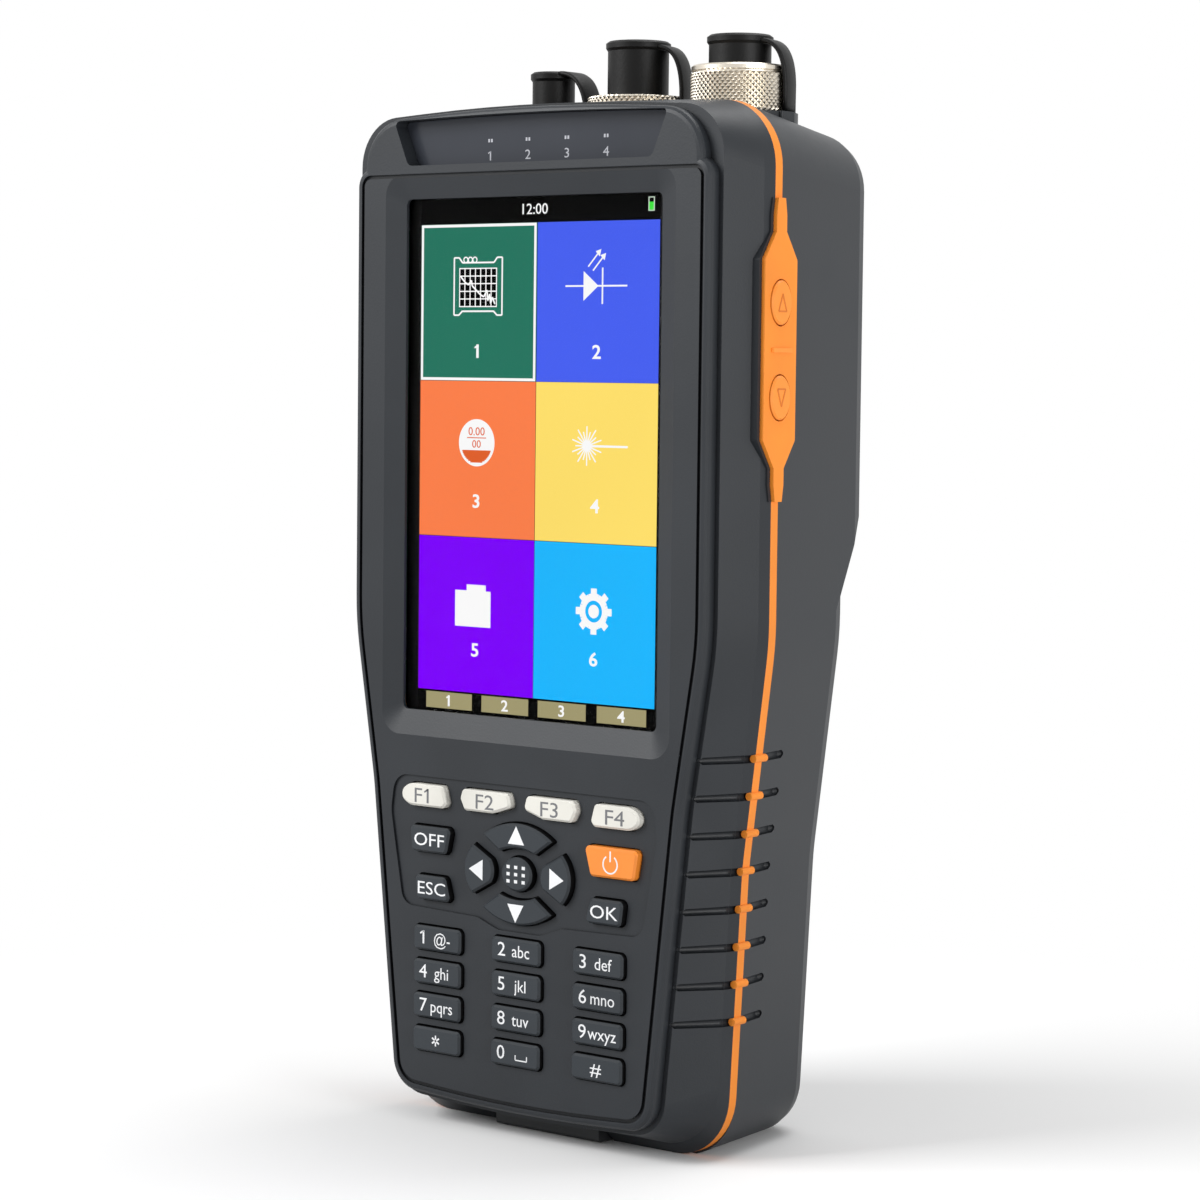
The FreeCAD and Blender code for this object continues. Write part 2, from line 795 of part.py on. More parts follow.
def side_platform(body, direction):
    """Grey border that carries the side pad, and the pocket that the pad fills."""
    seam = -size("seam_front") + direction * size("seam_width") / 2
    rim = size("side_rim")

    def half_of(corners):
        """The part of the hexagon on this shell's side of the seam."""
        face = Part.Face(Part.Wire([edge.toShape() for edge in rounded(corners)]))
        reach = 40.0
        low = Vector(seam, 0, 0) if direction > 0 else Vector(seam - reach, 0, 0)
        keep = Part.makePlane(reach, 300.0, low)
        cut = face.common(keep).removeSplitter()
        return [geometry(edge) for edge in cut.Faces[0].OuterWire.OrderedEdges]

    border = sketch_on(body, "side_border", "YZ_Plane", half_of(side_pad_outline(rim)),
                       f"{SIDE_FLOOR} - 3")
    pad(body, border, f"{SIDE_DEPTH} - Sizes.side_rim_drop + 3")
    bed = sketch_on(body, "side_bed", "YZ_Plane", half_of(side_pad_outline(0.1)),
                    f"{SIDE_FACE} + 1")
    pocket(body, bed, f"1 + {SIDE_DEPTH}")


def geometry(edge):
    """Sketch geometry of a straight or round edge."""
    first, last = edge.ParameterRange
    if isinstance(edge.Curve, Part.Line):
        return Part.LineSegment(edge.valueAt(first), edge.valueAt(last))
    return Part.ArcOfCircle(edge.Curve, first, last)


def back_sections(body, name, depth, outline, starts):
    """Loft from the start planes to a rounded back at a depth; outline(inset, y) is the form."""
    radius = size("back_rounding")
    steps = 4
    sketches = []
    for index, (y, expression) in enumerate(starts):
        sketches.append(front_sketch(body, f"{name}_{index}", rounded(outline(0, y)), expression))
    for index in range(steps + 1):
        turn = math.radians(90 * index / steps)
        ahead = radius * (1 - math.sin(turn))
        edges = rounded(outline(radius * (1 - math.cos(turn)), size(depth) - ahead))
        plane = f"-(Sizes.{depth} - Sizes.back_rounding * {1 - math.sin(turn):.6f})"
        sketches.append(front_sketch(body, f"{name}_round{index}", edges, plane))
    loft(body, sketches)


def rear_form(inset, y, under=0.0):
    """Rear shell's outline at a depth, with its draft, drawn in by inset."""
    share = (y + size("seam_front")) / (size("bulge_back") + size("seam_front"))
    return shell_outline(
        inset + share * size("back_side_inset"),
        inset + share * size("back_top_inset"),
        inset + under,
        inset + share * (size("shell_corner") - size("back_corner")),
    )


def bulge_form(inset, y):
    """Upper half's outline: the same sides and crown, over a lower edge that climbs with depth."""
    share = (y + size("seam_front")) / (size("bulge_back") + size("seam_front"))
    side = size("shell_half") - inset - share * size("back_side_inset")
    top = inset + share * size("back_top_inset")
    climb = (size("bulge_low") - size("grip_high")) / (size("bulge_back") - size("grip_back"))
    low = size("grip_high") + (y - size("grip_back")) * climb - 3 + inset
    corner = size("shell_corner") - inset - share * (size("shell_corner") - size("back_corner"))
    rise = size("shell_crown") - size("shell_shoulder")
    crown = crown_radius(rise, size("shell_half"), size("crown_reach") + side - size("shell_half"))
    return [
        (0, size("shell_crown") - top, crown),
        (side, size("shell_shoulder") - top, corner),
        (side, low, 2.0),
        (-side, low, 2.0),
        (-side, size("shell_shoulder") - top, corner),
    ]


def rear_shell():
    body = new_body("rear_shell", piece=False)
    back_corner = size("shell_corner") - size("back_corner")
    back_sections(body, "grip", "grip_back",
                  lambda inset, y: rear_form(inset, y, -0.5 if inset < 0.5 else 0.0),
                  [(seam_rear_y, REAR_SEAM)])
    start = size("grip_back") - size("back_rounding")
    back_sections(body, "bulge", "bulge_back", bulge_form,
                  [(start, "-Sizes.grip_back + Sizes.back_rounding")])
    reach = size("shell_half") + size("bulge_back")
    sole = sketch_on(body, "sole", "XY_Plane", rounded(box_outline(reach, -reach, reach)))
    pocket(body, sole, "3")

    # cavity: the grip's depth over the whole height, deeper behind the bulge
    wall = size("shell_wall")
    depth = size("grip_back") - size("back_wall")
    share = (depth + size("seam_front")) / (size("bulge_back") + size("seam_front"))
    inner = shell_outline(
        wall + share * size("back_side_inset"),
        wall + share * size("back_top_inset"),
        wall,
        wall + share * back_corner,
    )
    open_seam = front_sketch(
        body, "cavity_seam", rounded(shell_outline(wall, wall, wall, wall)), REAR_SEAM)
    open_back = front_sketch(
        body, "cavity_back", rounded(inner), "-(Sizes.grip_back - Sizes.back_wall)")
    loft(body, [open_seam, open_back], cut=True)
    bulge = box_outline(
        size("shell_half") - size("back_side_inset") - 3.4,
        size("bulge_low") + 4, size("shell_shoulder") - size("back_top_inset") - 4, 7.0)
    deep = front_sketch(body, "cavity_bulge", rounded(bulge),
                        "-(Sizes.grip_back - Sizes.back_wall)")
    pocket(body, deep, "Sizes.bulge_back - Sizes.grip_back + Sizes.back_wall - Sizes.shell_wall")

    # tray round the battery, recess and opening under the battery door
    low = size("battery_low") - size("battery_gap")
    high = size("battery_high") + size("battery_gap")
    half = size("battery_half") + size("battery_gap")
    tray = rounded(box_outline(half + 1.6, low - 1.6, high + 1.6, 3.0))
    tray += rounded(box_outline(half, low, high, 1.4))
    ring = front_sketch(body, "battery_tray", tray, "Sizes.battery_front + 1")
    pad(body, ring, "Sizes.battery_front + 1 + Sizes.grip_back - 1", reverse=True)
    door_bosses = [circle("boss_radius", 0, z) for z in DOOR_SCREWS]
    bosses = front_sketch(body, "door_bosses", door_bosses, "-10")
    bind_radius(bosses, "boss_radius")
    pad(body, bosses, "Sizes.grip_back - 11", reverse=True)
    gap = size("door_gap")
    seat = box_outline(size("door_half") + gap, size("door_low") - gap, size("door_high") + gap, 4.0)
    pocket(body, front_sketch(body, "door_seat", rounded(seat), "-Sizes.grip_back - 1"),
           "Sizes.door_thickness + 1", reverse=True)
    mouth = rounded(box_outline(half, low, high, 1.4))
    pocket(body, front_sketch(body, "door_mouth", mouth, "-Sizes.grip_back - 1"),
           "Sizes.back_wall + 1.5", reverse=True)
    door_holes = [circle("screw_radius", 0, z) for z in DOOR_SCREWS]
    drilled(body, "door_screw_holes", door_holes, "-Sizes.grip_back - 1",
            "Sizes.grip_back - 7", "Sizes.screw_radius + 0.05")

    screw_posts(body)
    port_seats(body)
    bottom_bay(body, REAR_SEAM, 1.0, "17", False)
    sockets = [Part.Circle(Vector(size("dc_x"), size("socket_back"), 0), Vector(0, 0, 1),
                           size("dc_barrel_radius") + 0.2)]
    y = size("socket_back")
    sockets += rounded(box_outline(4.1, y - 1.7, y + 1.7, 0.5, size("usb_x")))
    pocket(body, sketch_on(body, "sockets", "XY_Plane", sockets, "Sizes.bay_roof + 1"), "4")
    bay_recess(body, "Sizes.seam_front", "Sizes.seam_front + Sizes.cover_back + Sizes.cover_gap")
    y, z = hinge_place()
    pin = Part.Circle(Vector(y, z, 0), Vector(0, 0, 1), size("trunnion_radius") + 0.08)
    reach = "Sizes.cover_half + Sizes.trunnion_length + 0.2"
    pivots = sketch_on(body, "pivots", "YZ_Plane", [pin], reach)
    pocket(body, pivots, f"2 * ({reach})")
    side_platform(body, 1)
    return boolean("Part::Cut", "rear_shell", body, RIBS)


def drilled(body, name, circles, offset, length, radius):
    """Round holes from a plane behind the object forwards, all of one bound radius."""
    sketch = front_sketch(body, name, circles, offset)
    for index in range(len(circles)):
        number = sketch.addConstraint(Sketcher.Constraint("Radius", index, circles[0].Radius))
        sketch.setExpression(f"Constraints[{number}]", radius)
    return pocket(body, sketch, length, reverse=True)


def screw_posts(body):
    """Posts down to the main board, with deep counterbores for the housing screws."""
    start = "Sizes.board_front - Sizes.board_thickness"
    for name, places, inside in (
        ("upper", SCREW_PLACES[:2], "Sizes.bulge_back - Sizes.shell_wall"),
        ("lower", SCREW_PLACES[2:], "Sizes.grip_back - Sizes.back_wall"),
    ):
        circles = [circle("post_radius", x, z) for x, z in places]
        posts = front_sketch(body, f"{name}_posts", circles, start)
        bind_radius(posts, "post_radius")
        pad(body, posts, f"{start} + {inside} + 0.1", reverse=True)
    rear = "-Sizes.bulge_back - 1"
    drilled(body, "counterbores", [circle("screw_head_radius", x, z) for x, z in SCREW_PLACES],
            rear, "Sizes.bulge_back + 1 + Sizes.screw_seat", "Sizes.screw_head_radius + 0.35")
    drilled(body, "screw_holes", [circle("screw_radius", x, z) for x, z in SCREW_PLACES],
            rear, "Sizes.bulge_back + 1 + Sizes.board_front",
            "Sizes.screw_radius + Sizes.screw_clearance")


PORTS = {
    "vfl": ("vfl_x", "vfl_seat_radius", "vfl_stem_radius", "vfl_strap_reach"),
    "opm": ("opm_x", "port_seat_radius", "stem_radius", "strap_reach"),
    "otdr": ("otdr_x", "port_seat_radius", "stem_radius", "strap_reach"),
}


def port_seats(body):
    """Flat seats, stem holes and strap lugs of the three ports on top."""
    back = size("port_back")
    lug_half = size("strap_width") / 2 + 0.2
    for name, (place, seat, _, reach) in PORTS.items():
        round_seat = [circle(seat, size(place), back)]
        base = sketch_on(body, f"{name}_seat", "XY_Plane", round_seat, "Sizes.port_seat - 5")
        pad(body, base, "5")
        middle = size(place) + size(reach) - size("strap_thickness") / 2
        lug = box_outline(size("strap_thickness"), back - lug_half, back + lug_half, 0.4, middle)
        foot = sketch_on(body, f"{name}_lug", "XY_Plane", rounded(lug), "Sizes.strap_foot - 5")
        pad(body, foot, "5")
    for name, (place, seat, stem, _) in PORTS.items():
        above = sketch_on(body, f"{name}_face", "XY_Plane", [circle(seat, size(place), back)],
                          "Sizes.port_seat")
        pocket(body, above, "6", reverse=True)
        hole = sketch_on(body, f"{name}_hole", "XY_Plane",
                         [Part.Circle(Vector(size(place), back, 0), Vector(0, 0, 1), size(stem) + 0.2)],
                         "Sizes.port_seat + 1")
        pocket(body, hole, "Sizes.port_seat + 1 - Sizes.stem_bottom")


def parting_seal():
    """Orange strip between the shells, with a bump in every grip groove."""
    body = new_body("parting_seal", piece=False)
    inset = size("shell_wall") + 0.4
    ring = rounded(shell_outline()) + rounded(shell_outline(inset, inset, inset, inset))
    pad(body, front_sketch(body, "ring", ring, REAR_SEAM), "Sizes.seam_width")
    cover = box_outline(size("cover_half") + size("cover_gap"), -3.0,
                        size("cover_low") + size("cover_thickness") + size("cover_gap"))
    pocket(body, front_sketch(body, "cover_gap", rounded(cover), "Sizes.seam_front + 3"), "6")
    bed = sketch_on(body, "side_bed", "YZ_Plane", rounded(side_pad_outline(size("side_rim"))),
                    f"{SIDE_FACE} + 1")
    pocket(body, bed, f"1.1 + {SIDE_DEPTH}")
    bumps = []
    length = size("seam_width") + 1.4
    for height in rib_heights():
        for side in (-1, 1):
            reach = half_at(shell_outline(), height) + 0.05
            start = Vector(side * reach, -size("seam_front") - length / 2, height)
            bumps.append(Part.makeCylinder(size("rib_radius") - 0.05, length, start, Vector(0, 1, 0)))
    trim = computed("seal_bumps", Part.makeCompound(bumps), piece=False)
    return boolean("Part::Fuse", "parting_seal", body, trim)


def plate(name, outline, front, thickness, piece=True):
    """Flat piece facing the reader: front plane, then thickness behind it."""
    body = new_body(name, piece)
    pad(body, front_sketch(body, "outline", outline, front), thickness, reverse=True)
    return body


def face_fittings():
    """Window, indicator board, display and its lens."""
    plate("led_window", rounded(window_outline(0.1)), "Sizes.face_front - Sizes.window_depth",
          "Sizes.window_thickness - 0.1")
    board_front = "Sizes.face_front - 6.1"
    leds = plate("led_board", rounded(box_outline(18.5, 177.6, 183.4, 0.8, 2.4)), board_front, "1")
    lights = front_sketch(leds, "lights", [circle("led_radius", x, size("led_height")) for x in LED_PLACES],
                          board_front)
    bind_radius(lights, "led_radius")
    pad(leds, lights, "1.8")
    over = size("lens_overlap")
    middle = size("screen_middle")
    half_height = size("screen_half_height") + over
    lens = box_outline(size("screen_half") + over, middle - half_height, middle + half_height, 2.0)
    plate("display_lens", rounded(lens), "Sizes.face_front - Sizes.face_wall - 0.05",
          "Sizes.lens_thickness")
    lcd = box_outline(size("lcd_half"), size("lcd_low"), size("lcd_high"), 1.0)
    plate("lcd_module", rounded(lcd), "Sizes.lcd_front", "Sizes.lcd_thickness")


def keypad():
    """Every key, the mat that springs them back and the board under the mat."""
    for name, edges in KEYS.items():
        body = new_body(name)
        loft(body, [
            front_sketch(body, "cap", edges, "Sizes.key_flange_front"),
            front_sketch(body, "bevel", edges, "Sizes.key_front - Sizes.key_bevel"),
            front_sketch(body, "top", grown(edges, -size("key_bevel")), "Sizes.key_front"),
        ])
        flange = front_sketch(body, "flange", grown(edges, size("key_flange")),
                              "Sizes.key_flange_front")
        pad(body, flange, "Sizes.key_flange_front - Sizes.key_flange_back", reverse=True)

    right = [(29.8, 66.5, 2.0), (29.8, 30.0, 2.0), (25.4, 27.5, 1.0), (25.4, 11.5, 2.0)]
    outline = right + [(-x, z, radius) for x, z, radius in reversed(right)]
    mat = plate("keypad_mat", rounded(outline), "Sizes.mat_front", "Sizes.mat_thickness")
    posts = []
    for edges in KEYS.values():
        box = Part.Wire(Part.__sortEdges__([edge.toShape() for edge in edges])).BoundBox
        low = box.Center.y - 1.2
        posts += rounded(box_outline(1.6, low, low + 2.4, 0.0, box.Center.x))
    pills = front_sketch(mat, "pills", posts, "Sizes.mat_front")
    pad(mat, pills, "Sizes.mat_post")
    plate("keypad_board", rounded(outline), "Sizes.mat_front - Sizes.mat_thickness",
          "Sizes.keyboard_thickness")


def electronics():
    """Main board, optics module, battery and the sockets in the sole."""
    wide = size("shell_half") - size("board_side_gap")
    narrow = size("foot_half") - size("board_foot_gap")
    right = [
        (wide, size("stem_bottom"), 5.0),
        (wide, size("waist_top") - 8.5, 4.0),
        (narrow, size("waist_low") + 2.5, 4.0),
        (narrow, size("bay_roof") + 1.2, 5.0),
    ]
    outline = right + [(-x, z, radius) for x, z, radius in reversed(right)]
    board = plate("main_board", rounded(outline), "Sizes.board_front", "Sizes.board_thickness")
    holes = [circle("screw_radius", x, z) for x, z in SCREW_PLACES]
    drilled(board, "holes", holes, "0", "Sizes.board_front + 1",
            "Sizes.screw_radius + Sizes.screw_clearance")

    optics = new_body("optics_module")
    block = sketch_on(optics, "block", "XY_Plane", rounded(box_outline(28.0, -9.5, 14.5, 2.0, 1.0)),
                      "Sizes.stem_bottom - 26")
    pad(optics, block, "26")

    cells = new_body("battery_pack")
    radius = size("cell_radius")
    front = -size("battery_front")
    stadium = box_outline(size("battery_half"), front, front + 2 * radius, radius - 0.05)
    wrap = sketch_on(cells, "wrap", "XY_Plane", rounded(stadium), "Sizes.battery_low")
    pad(cells, wrap, "Sizes.battery_high - Sizes.battery_low")

    jack = new_body("dc_jack")
    x, y = size("dc_x"), size("socket_back")
    case = box_outline(4.4, -12.4, y + 4.2, 0.5, x)
    pad(jack, sketch_on(jack, "case", "XY_Plane", rounded(case), "Sizes.bay_roof + 0.1"),
        "Sizes.socket_top - Sizes.bay_roof - 0.1")
    barrel = sketch_on(jack, "barrel", "XY_Plane", [circle("dc_barrel_radius", x, y)], "3.5")
    bind_radius(barrel, "dc_barrel_radius")
    pad(jack, barrel, "4")
    bore = sketch_on(jack, "bore", "XY_Plane", [circle("dc_bore_radius", x, y)], "3.5")
    bind_radius(bore, "dc_bore_radius")
    pocket(jack, bore, "9.5", reverse=True)
    pin = sketch_on(jack, "pin", "XY_Plane", [circle("dc_pin_radius", x, y)], "4.5")
    bind_radius(pin, "dc_pin_radius")
    pad(jack, pin, "9")

    usb = new_body("usb_socket")
    x = size("usb_x")
    case = box_outline(4.2, -12.4, y + 1.6, 0.3, x)
    pad(usb, sketch_on(usb, "case", "XY_Plane", rounded(case), "Sizes.bay_roof + 0.1"), "5.4")
    spout = box_outline(3.9, y - 1.5, y + 1.5, 0.5, x)
    pad(usb, sketch_on(usb, "spout", "XY_Plane", rounded(spout), "3.5"), "3")
    slot = box_outline(3.5, y - 1.0, y + 1.0, 0.4, x)
    pocket(usb, sketch_on(usb, "slot", "XY_Plane", rounded(slot), "3.5"), "5.5", reverse=True)
    tongue = box_outline(2.2, y - 0.3, y + 0.3, 0.0, x)
    pad(usb, sketch_on(usb, "tongue", "XY_Plane", rounded(tongue), "4"), "5.5")


def battery_door():
    door = box_outline(size("door_half"), size("door_low"), size("door_high"), 3.8)
    body = plate("battery_door", rounded(door), "-Sizes.grip_back + Sizes.door_thickness",
                 "Sizes.door_thickness")
    heads = [circle("screw_head_radius", 0, z) for z in DOOR_SCREWS]
    drilled(body, "head_seats", heads, "-Sizes.grip_back - 1", "2.2",
            "Sizes.screw_head_radius + 0.3")
    holes = [circle("screw_radius", 0, z) for z in DOOR_SCREWS]
    drilled(body, "holes", holes, "-Sizes.grip_back - 1", "Sizes.door_thickness + 2",
            "Sizes.screw_radius + Sizes.screw_clearance")


def screws(name, places, seat, length, head):
    """Pan-head screws along -Y: their seats, shank length and head height are expressions."""
    pieces = []
    for index, (x, z) in enumerate(places):
        shank = doc.addObject("Part::Cylinder", f"{name}_shank{index}")
        shank.setExpression("Radius", "Sizes.screw_radius")
        shank.setExpression("Height", length)
        cap = doc.addObject("Part::Cylinder", f"{name}_head{index}")
        cap.setExpression("Radius", "Sizes.screw_head_radius")
        cap.setExpression("Height", head)
        forward = Rotation(Vector(1, 0, 0), 90)
        back = Rotation(Vector(1, 0, 0), -90)
        shank.Placement = Placement(Vector(x, 0, z), forward)
        shank.setExpression("Placement.Base.y", seat)
        cap.Placement = Placement(Vector(x, 0, z), back)
        cap.setExpression("Placement.Base.y", seat)
        pieces.append(boolean("Part::Fuse", f"{name}_{index}", shank, cap, piece=False))
    group = doc.addObject("Part::Compound", name)
    group.Label = name
    group.Links = pieces
    PIECES.append(group)


def port_cover():
    """Rubber cover of the sockets, which swings down on two trunnions at its back edge."""
    body = new_body("port_cover")
    low = size("cover_low")
    high = low + size("cover_thickness")
    bend = size("cover_thickness") / 2 - 0.01
    side = [
        (-size("cover_front"), low, 0.6),
        (size("cover_back"), low, bend),
        (size("cover_back"), high, bend),
        (-size("cover_front"), high, 0.4),
    ]
    flap = sketch_on(body, "flap", "YZ_Plane", rounded(side), "-Sizes.cover_half")
    pad(body, flap, "2 * Sizes.cover_half")
    y, z = hinge_place()
    pin = sketch_on(body, "trunnions", "YZ_Plane",
                    [circle("trunnion_radius", y, z)],
                    "-Sizes.cover_half - Sizes.trunnion_length")
    bind_radius(pin, "trunnion_radius")
    pad(body, pin, "2 * Sizes.cover_half + 2 * Sizes.trunnion_length")


def hinge_place():
    """Axis of the port cover, in Y and Z."""
    half = size("cover_thickness") / 2
    return size("cover_back") - half, size("cover_low") + half


def side_keys():
    """Orange pad on the right side and its two oval keys."""
    body = new_body("side_button_pad")
    bed = sketch_on(body, "pad", "YZ_Plane", rounded(side_pad_outline()), f"{SIDE_FLOOR} + 0.1")
    pad(body, bed, f"{SIDE_DEPTH} - 0.1")
    middle = -size("seam_front")
    height = (size("side_top") + size("side_bottom")) / 2
    bar = box_outline(2.6, height - 0.35, height + 0.35, 0.0, middle)
    line = sketch_on(body, "divider", "YZ_Plane", rounded(bar), SIDE_FACE)
    pad(body, line, "0.2")

    def oval(z, grow):
        place = Vector(middle, z, 0)
        high = place + Vector(0, size("side_key_half_height") + grow, 0)
        wide = place + Vector(size("side_key_half_width") + grow, 0, 0)
        return [Part.Ellipse(high, wide, place)]

    for name, direction in (("side_button_up", 1), ("side_button_down", -1)):
        z = height + direction * size("side_key_offset")
        hole = sketch_on(body, f"{name}_hole", "YZ_Plane", oval(z, 0.25), f"{SIDE_FACE} + 1")
        pocket(body, hole, "4")
        key = new_body(name)
        face = sketch_on(key, "oval", "YZ_Plane", oval(z, 0),
                         f"{SIDE_FLOOR} + 0.1 + Sizes.side_key_travel")
        pad(key, face, f"{SIDE_DEPTH} + Sizes.side_key_proud - 0.1 - Sizes.side_key_travel")
        limit = size("shell_half") + size("side_proud") + size("side_key_proud")
        bevel_edges(key, lambda p, x=limit: abs(p.x - x) < 1e-3, "0.3")


def at_port(body, place):
    """Stands a turned piece on its port's axis."""
    body.setExpression("Placement.Base.x", f"Sizes.{place}")
    body.setExpression("Placement.Base.y", "Sizes.port_back")


def port(name, barrel, top, stem, flange):
    """Nickel port: stem in the shell, flange on its seat, barrel with the ferrule bore."""
    seat = size("port_seat")
    rim = seat + size("port_flange_height")
    body = new_body(f"{name}_port")
    bore = size("ferrule_radius")
    revolve(body, [
        (bore, size("stem_bottom") + 4), (bore, top), (barrel - 0.4, top), (barrel, top - 0.4),
        (barrel, rim), (flange, rim), (flange, seat), (stem, seat), (stem, size("stem_bottom")),
        (0, size("stem_bottom")), (0, size("stem_bottom") + 4),
    ])
    at_port(body, f"{name}_x")


def nut(name, radius, top):
    """Knurled nut that turns over the port's flange; its plain rim is above a neck."""
    low = size("port_seat") + size("nut_gap")
    step = size("port_seat") + size("port_flange_height") + size("nut_gap")
    inner = size("port_flange_radius") + 0.3
    body = new_body(f"{name}_nut")
    revolve(body, [
        (inner, low), (radius - 0.4, low), (radius, low + 0.4), (radius, top - 1.8),
        (radius - 0.5, top - 1.5), (radius - 0.5, top - 1.3), (radius - 0.1, top - 1.1),
        (radius - 0.1, top - 0.4), (radius - 0.5, top), (size("nut_bore"), top),
        (size("nut_bore"), step), (inner, step),
    ])
    at_port(body, f"{name}_x")


def cap(name, radius, top, bottom, barrel, barrel_top):
    """Rubber dust cap, hollow over the barrel, with a lip round its top."""
    inner = barrel + size("cap_gap")
    ceiling = barrel_top + 0.4
    body = new_body(f"{name}_cap")
    revolve(body, [
        (0, top), (radius - 0.2, top), (radius + 0.35, top - 0.4), (radius + 0.35, top - 1.3),
        (radius, top - 1.8), (radius, bottom), (inner, bottom), (inner, ceiling), (0, ceiling),
    ])
    at_port(body, f"{name}_x")
    return body


def strap(name, body, radius, top, reach, bend, lean=0.0):
    """Flat rubber strap from the cap's top over the nut and down to its lug."""
    thick = size("strap_thickness")
    place = size(f"{name}_x")
    start = place + radius - 1.0
    outer = place + size(reach)
    high = top - 0.3
    foot = size("strap_foot")
    turn = size(bend)
    outline = [
        (start, high, 0), (outer - lean, high, turn), (outer, foot, 0), (outer - thick, foot, 0),
        (outer - lean - thick, high - thick, turn - thick), (start, high - thick, 0),
    ]
    band = new_body(f"{name}_strap", piece=False)
    sketch = front_sketch(band, "band", rounded(outline),
                          "-Sizes.port_back + Sizes.strap_width / 2")
    pad(band, sketch, "Sizes.strap_width", reverse=True)
    return boolean("Part::Cut", f"{name}_strap", band, body)


def ports():
    wide = (size("barrel_radius"), size("barrel_top"), size("stem_radius"),
            size("port_flange_radius"))
    port("opm", *wide)
    port("otdr", *wide)
    port("vfl", size("vfl_barrel_radius"), size("vfl_barrel_top"), size("vfl_stem_radius"),
         size("vfl_flange_radius"))
    nut("opm", size("opm_nut_radius"), size("opm_nut_top"))
    nut("otdr", size("otdr_nut_radius"), size("otdr_nut_top"))
    for name in ("opm", "otdr"):
        cover = cap(name, size("cap_radius"), size("cap_top"), size("cap_bottom"),
                    size("barrel_radius"), size("barrel_top"))
        strap(name, cover, size("cap_radius"), size("cap_top"), "strap_reach", "strap_bend")
    cover = cap("vfl", size("vfl_cap_radius"), size("vfl_cap_top"), size("vfl_cap_bottom"),
                size("vfl_barrel_radius"), size("vfl_barrel_top"))
    strap("vfl", cover, size("vfl_cap_radius"), size("vfl_cap_top"), "vfl_strap_reach",
          "vfl_strap_bend", size("vfl_strap_lean"))


# ---------------------------------------------------------------- write

RIBS = computed("rib_cutters", rib_cutters(), piece=False)
front_shell()
rear_shell()
parting_seal()
face_fittings()
keypad()
electronics()
battery_door()
seat = "-Sizes.screw_seat"
screws("housing_screws", SCREW_PLACES, seat, "Sizes.screw_length", "Sizes.screw_head_height")
seat = "Sizes.grip_back - 1.2"
screws("battery_door_screws", [(0, z) for z in DOOR_SCREWS], seat, "6", "1.1")
port_cover()
side_keys()
ports()
doc.recompute()

for item in doc.Objects:
    state = set(item.State) & {"Invalid", "Error"}
    if state:
        raise RuntimeError(f"{item.Label}: {sorted(state)}")
for item in PIECES:
    shape = item.Shape
    if shape.isNull() or not shape.isValid():
        raise RuntimeError(f"{item.Label}: shape is not valid")
    shape.exportStep(f"parts/{item.Label}.step")
print(len(PIECES), "pieces")
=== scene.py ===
# %% [markdown]
# # Dressing a handheld fibre tester
# The packed model gives every rigid piece its shape, its place and the body it moves with.
# This notebook adds what a CAD model leaves out: the finish of each moulding, the picture on
# the display, the printed legends, the diamond knurling, a camera and the light of a studio.

# %% Load the frame
import math

import bmesh
import bpy
from mathutils import Matrix, Vector


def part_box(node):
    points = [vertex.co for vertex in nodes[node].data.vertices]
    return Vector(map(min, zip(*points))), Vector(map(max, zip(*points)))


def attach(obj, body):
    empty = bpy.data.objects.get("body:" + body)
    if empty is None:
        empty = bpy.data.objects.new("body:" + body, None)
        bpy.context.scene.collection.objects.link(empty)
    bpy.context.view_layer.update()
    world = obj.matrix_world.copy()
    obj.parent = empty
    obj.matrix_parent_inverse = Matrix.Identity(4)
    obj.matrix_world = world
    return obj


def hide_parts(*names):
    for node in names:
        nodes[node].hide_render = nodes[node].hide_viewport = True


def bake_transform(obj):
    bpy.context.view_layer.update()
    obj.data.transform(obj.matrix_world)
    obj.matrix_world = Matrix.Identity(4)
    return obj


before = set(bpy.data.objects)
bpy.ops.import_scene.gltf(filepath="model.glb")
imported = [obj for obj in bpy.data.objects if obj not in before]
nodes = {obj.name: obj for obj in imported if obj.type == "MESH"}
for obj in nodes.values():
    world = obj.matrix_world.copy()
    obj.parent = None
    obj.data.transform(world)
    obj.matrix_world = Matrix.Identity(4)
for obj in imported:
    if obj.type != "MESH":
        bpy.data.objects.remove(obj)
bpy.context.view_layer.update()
MM = 0.001
HOUSING = "housing"
print(len(nodes), "pieces from the frame")

# %% [markdown]
# ## The camera
# A tall instrument is drawn best with a long lens from a little above its middle, turned so
# that the screen and one long side both show. The place and the three turns are set here as
# numbers, so that the view never moves by itself.

# %% Camera
LENS = 103.34              # mm, on the default 36 mm sensor
EYE = Vector((0.40225, -0.49154, 0.13947))
YAW, PITCH, ROLL = (math.radians(angle) for angle in (39.467, 3.8116, -0.6442))

level = Vector((math.cos(YAW), math.sin(YAW), 0))
forward = Vector((-math.sin(YAW) * math.cos(PITCH), math.cos(YAW) * math.cos(PITCH),
                  -math.sin(PITCH)))
down = forward.cross(level)
right = math.cos(ROLL) * level + math.sin(ROLL) * down
low = -math.sin(ROLL) * level + math.cos(ROLL) * down

view = bpy.data.cameras.new("camera")
view.lens = LENS
view.clip_start = 0.01
camera = bpy.data.objects.new("camera", view)
turn = Matrix((right, -low, -forward)).transposed()
camera.matrix_world = Matrix.Translation(EYE) @ turn.to_4x4()
bpy.context.collection.objects.link(camera)
bpy.context.scene.camera = camera
print("camera looks along", [round(x, 3) for x in forward])

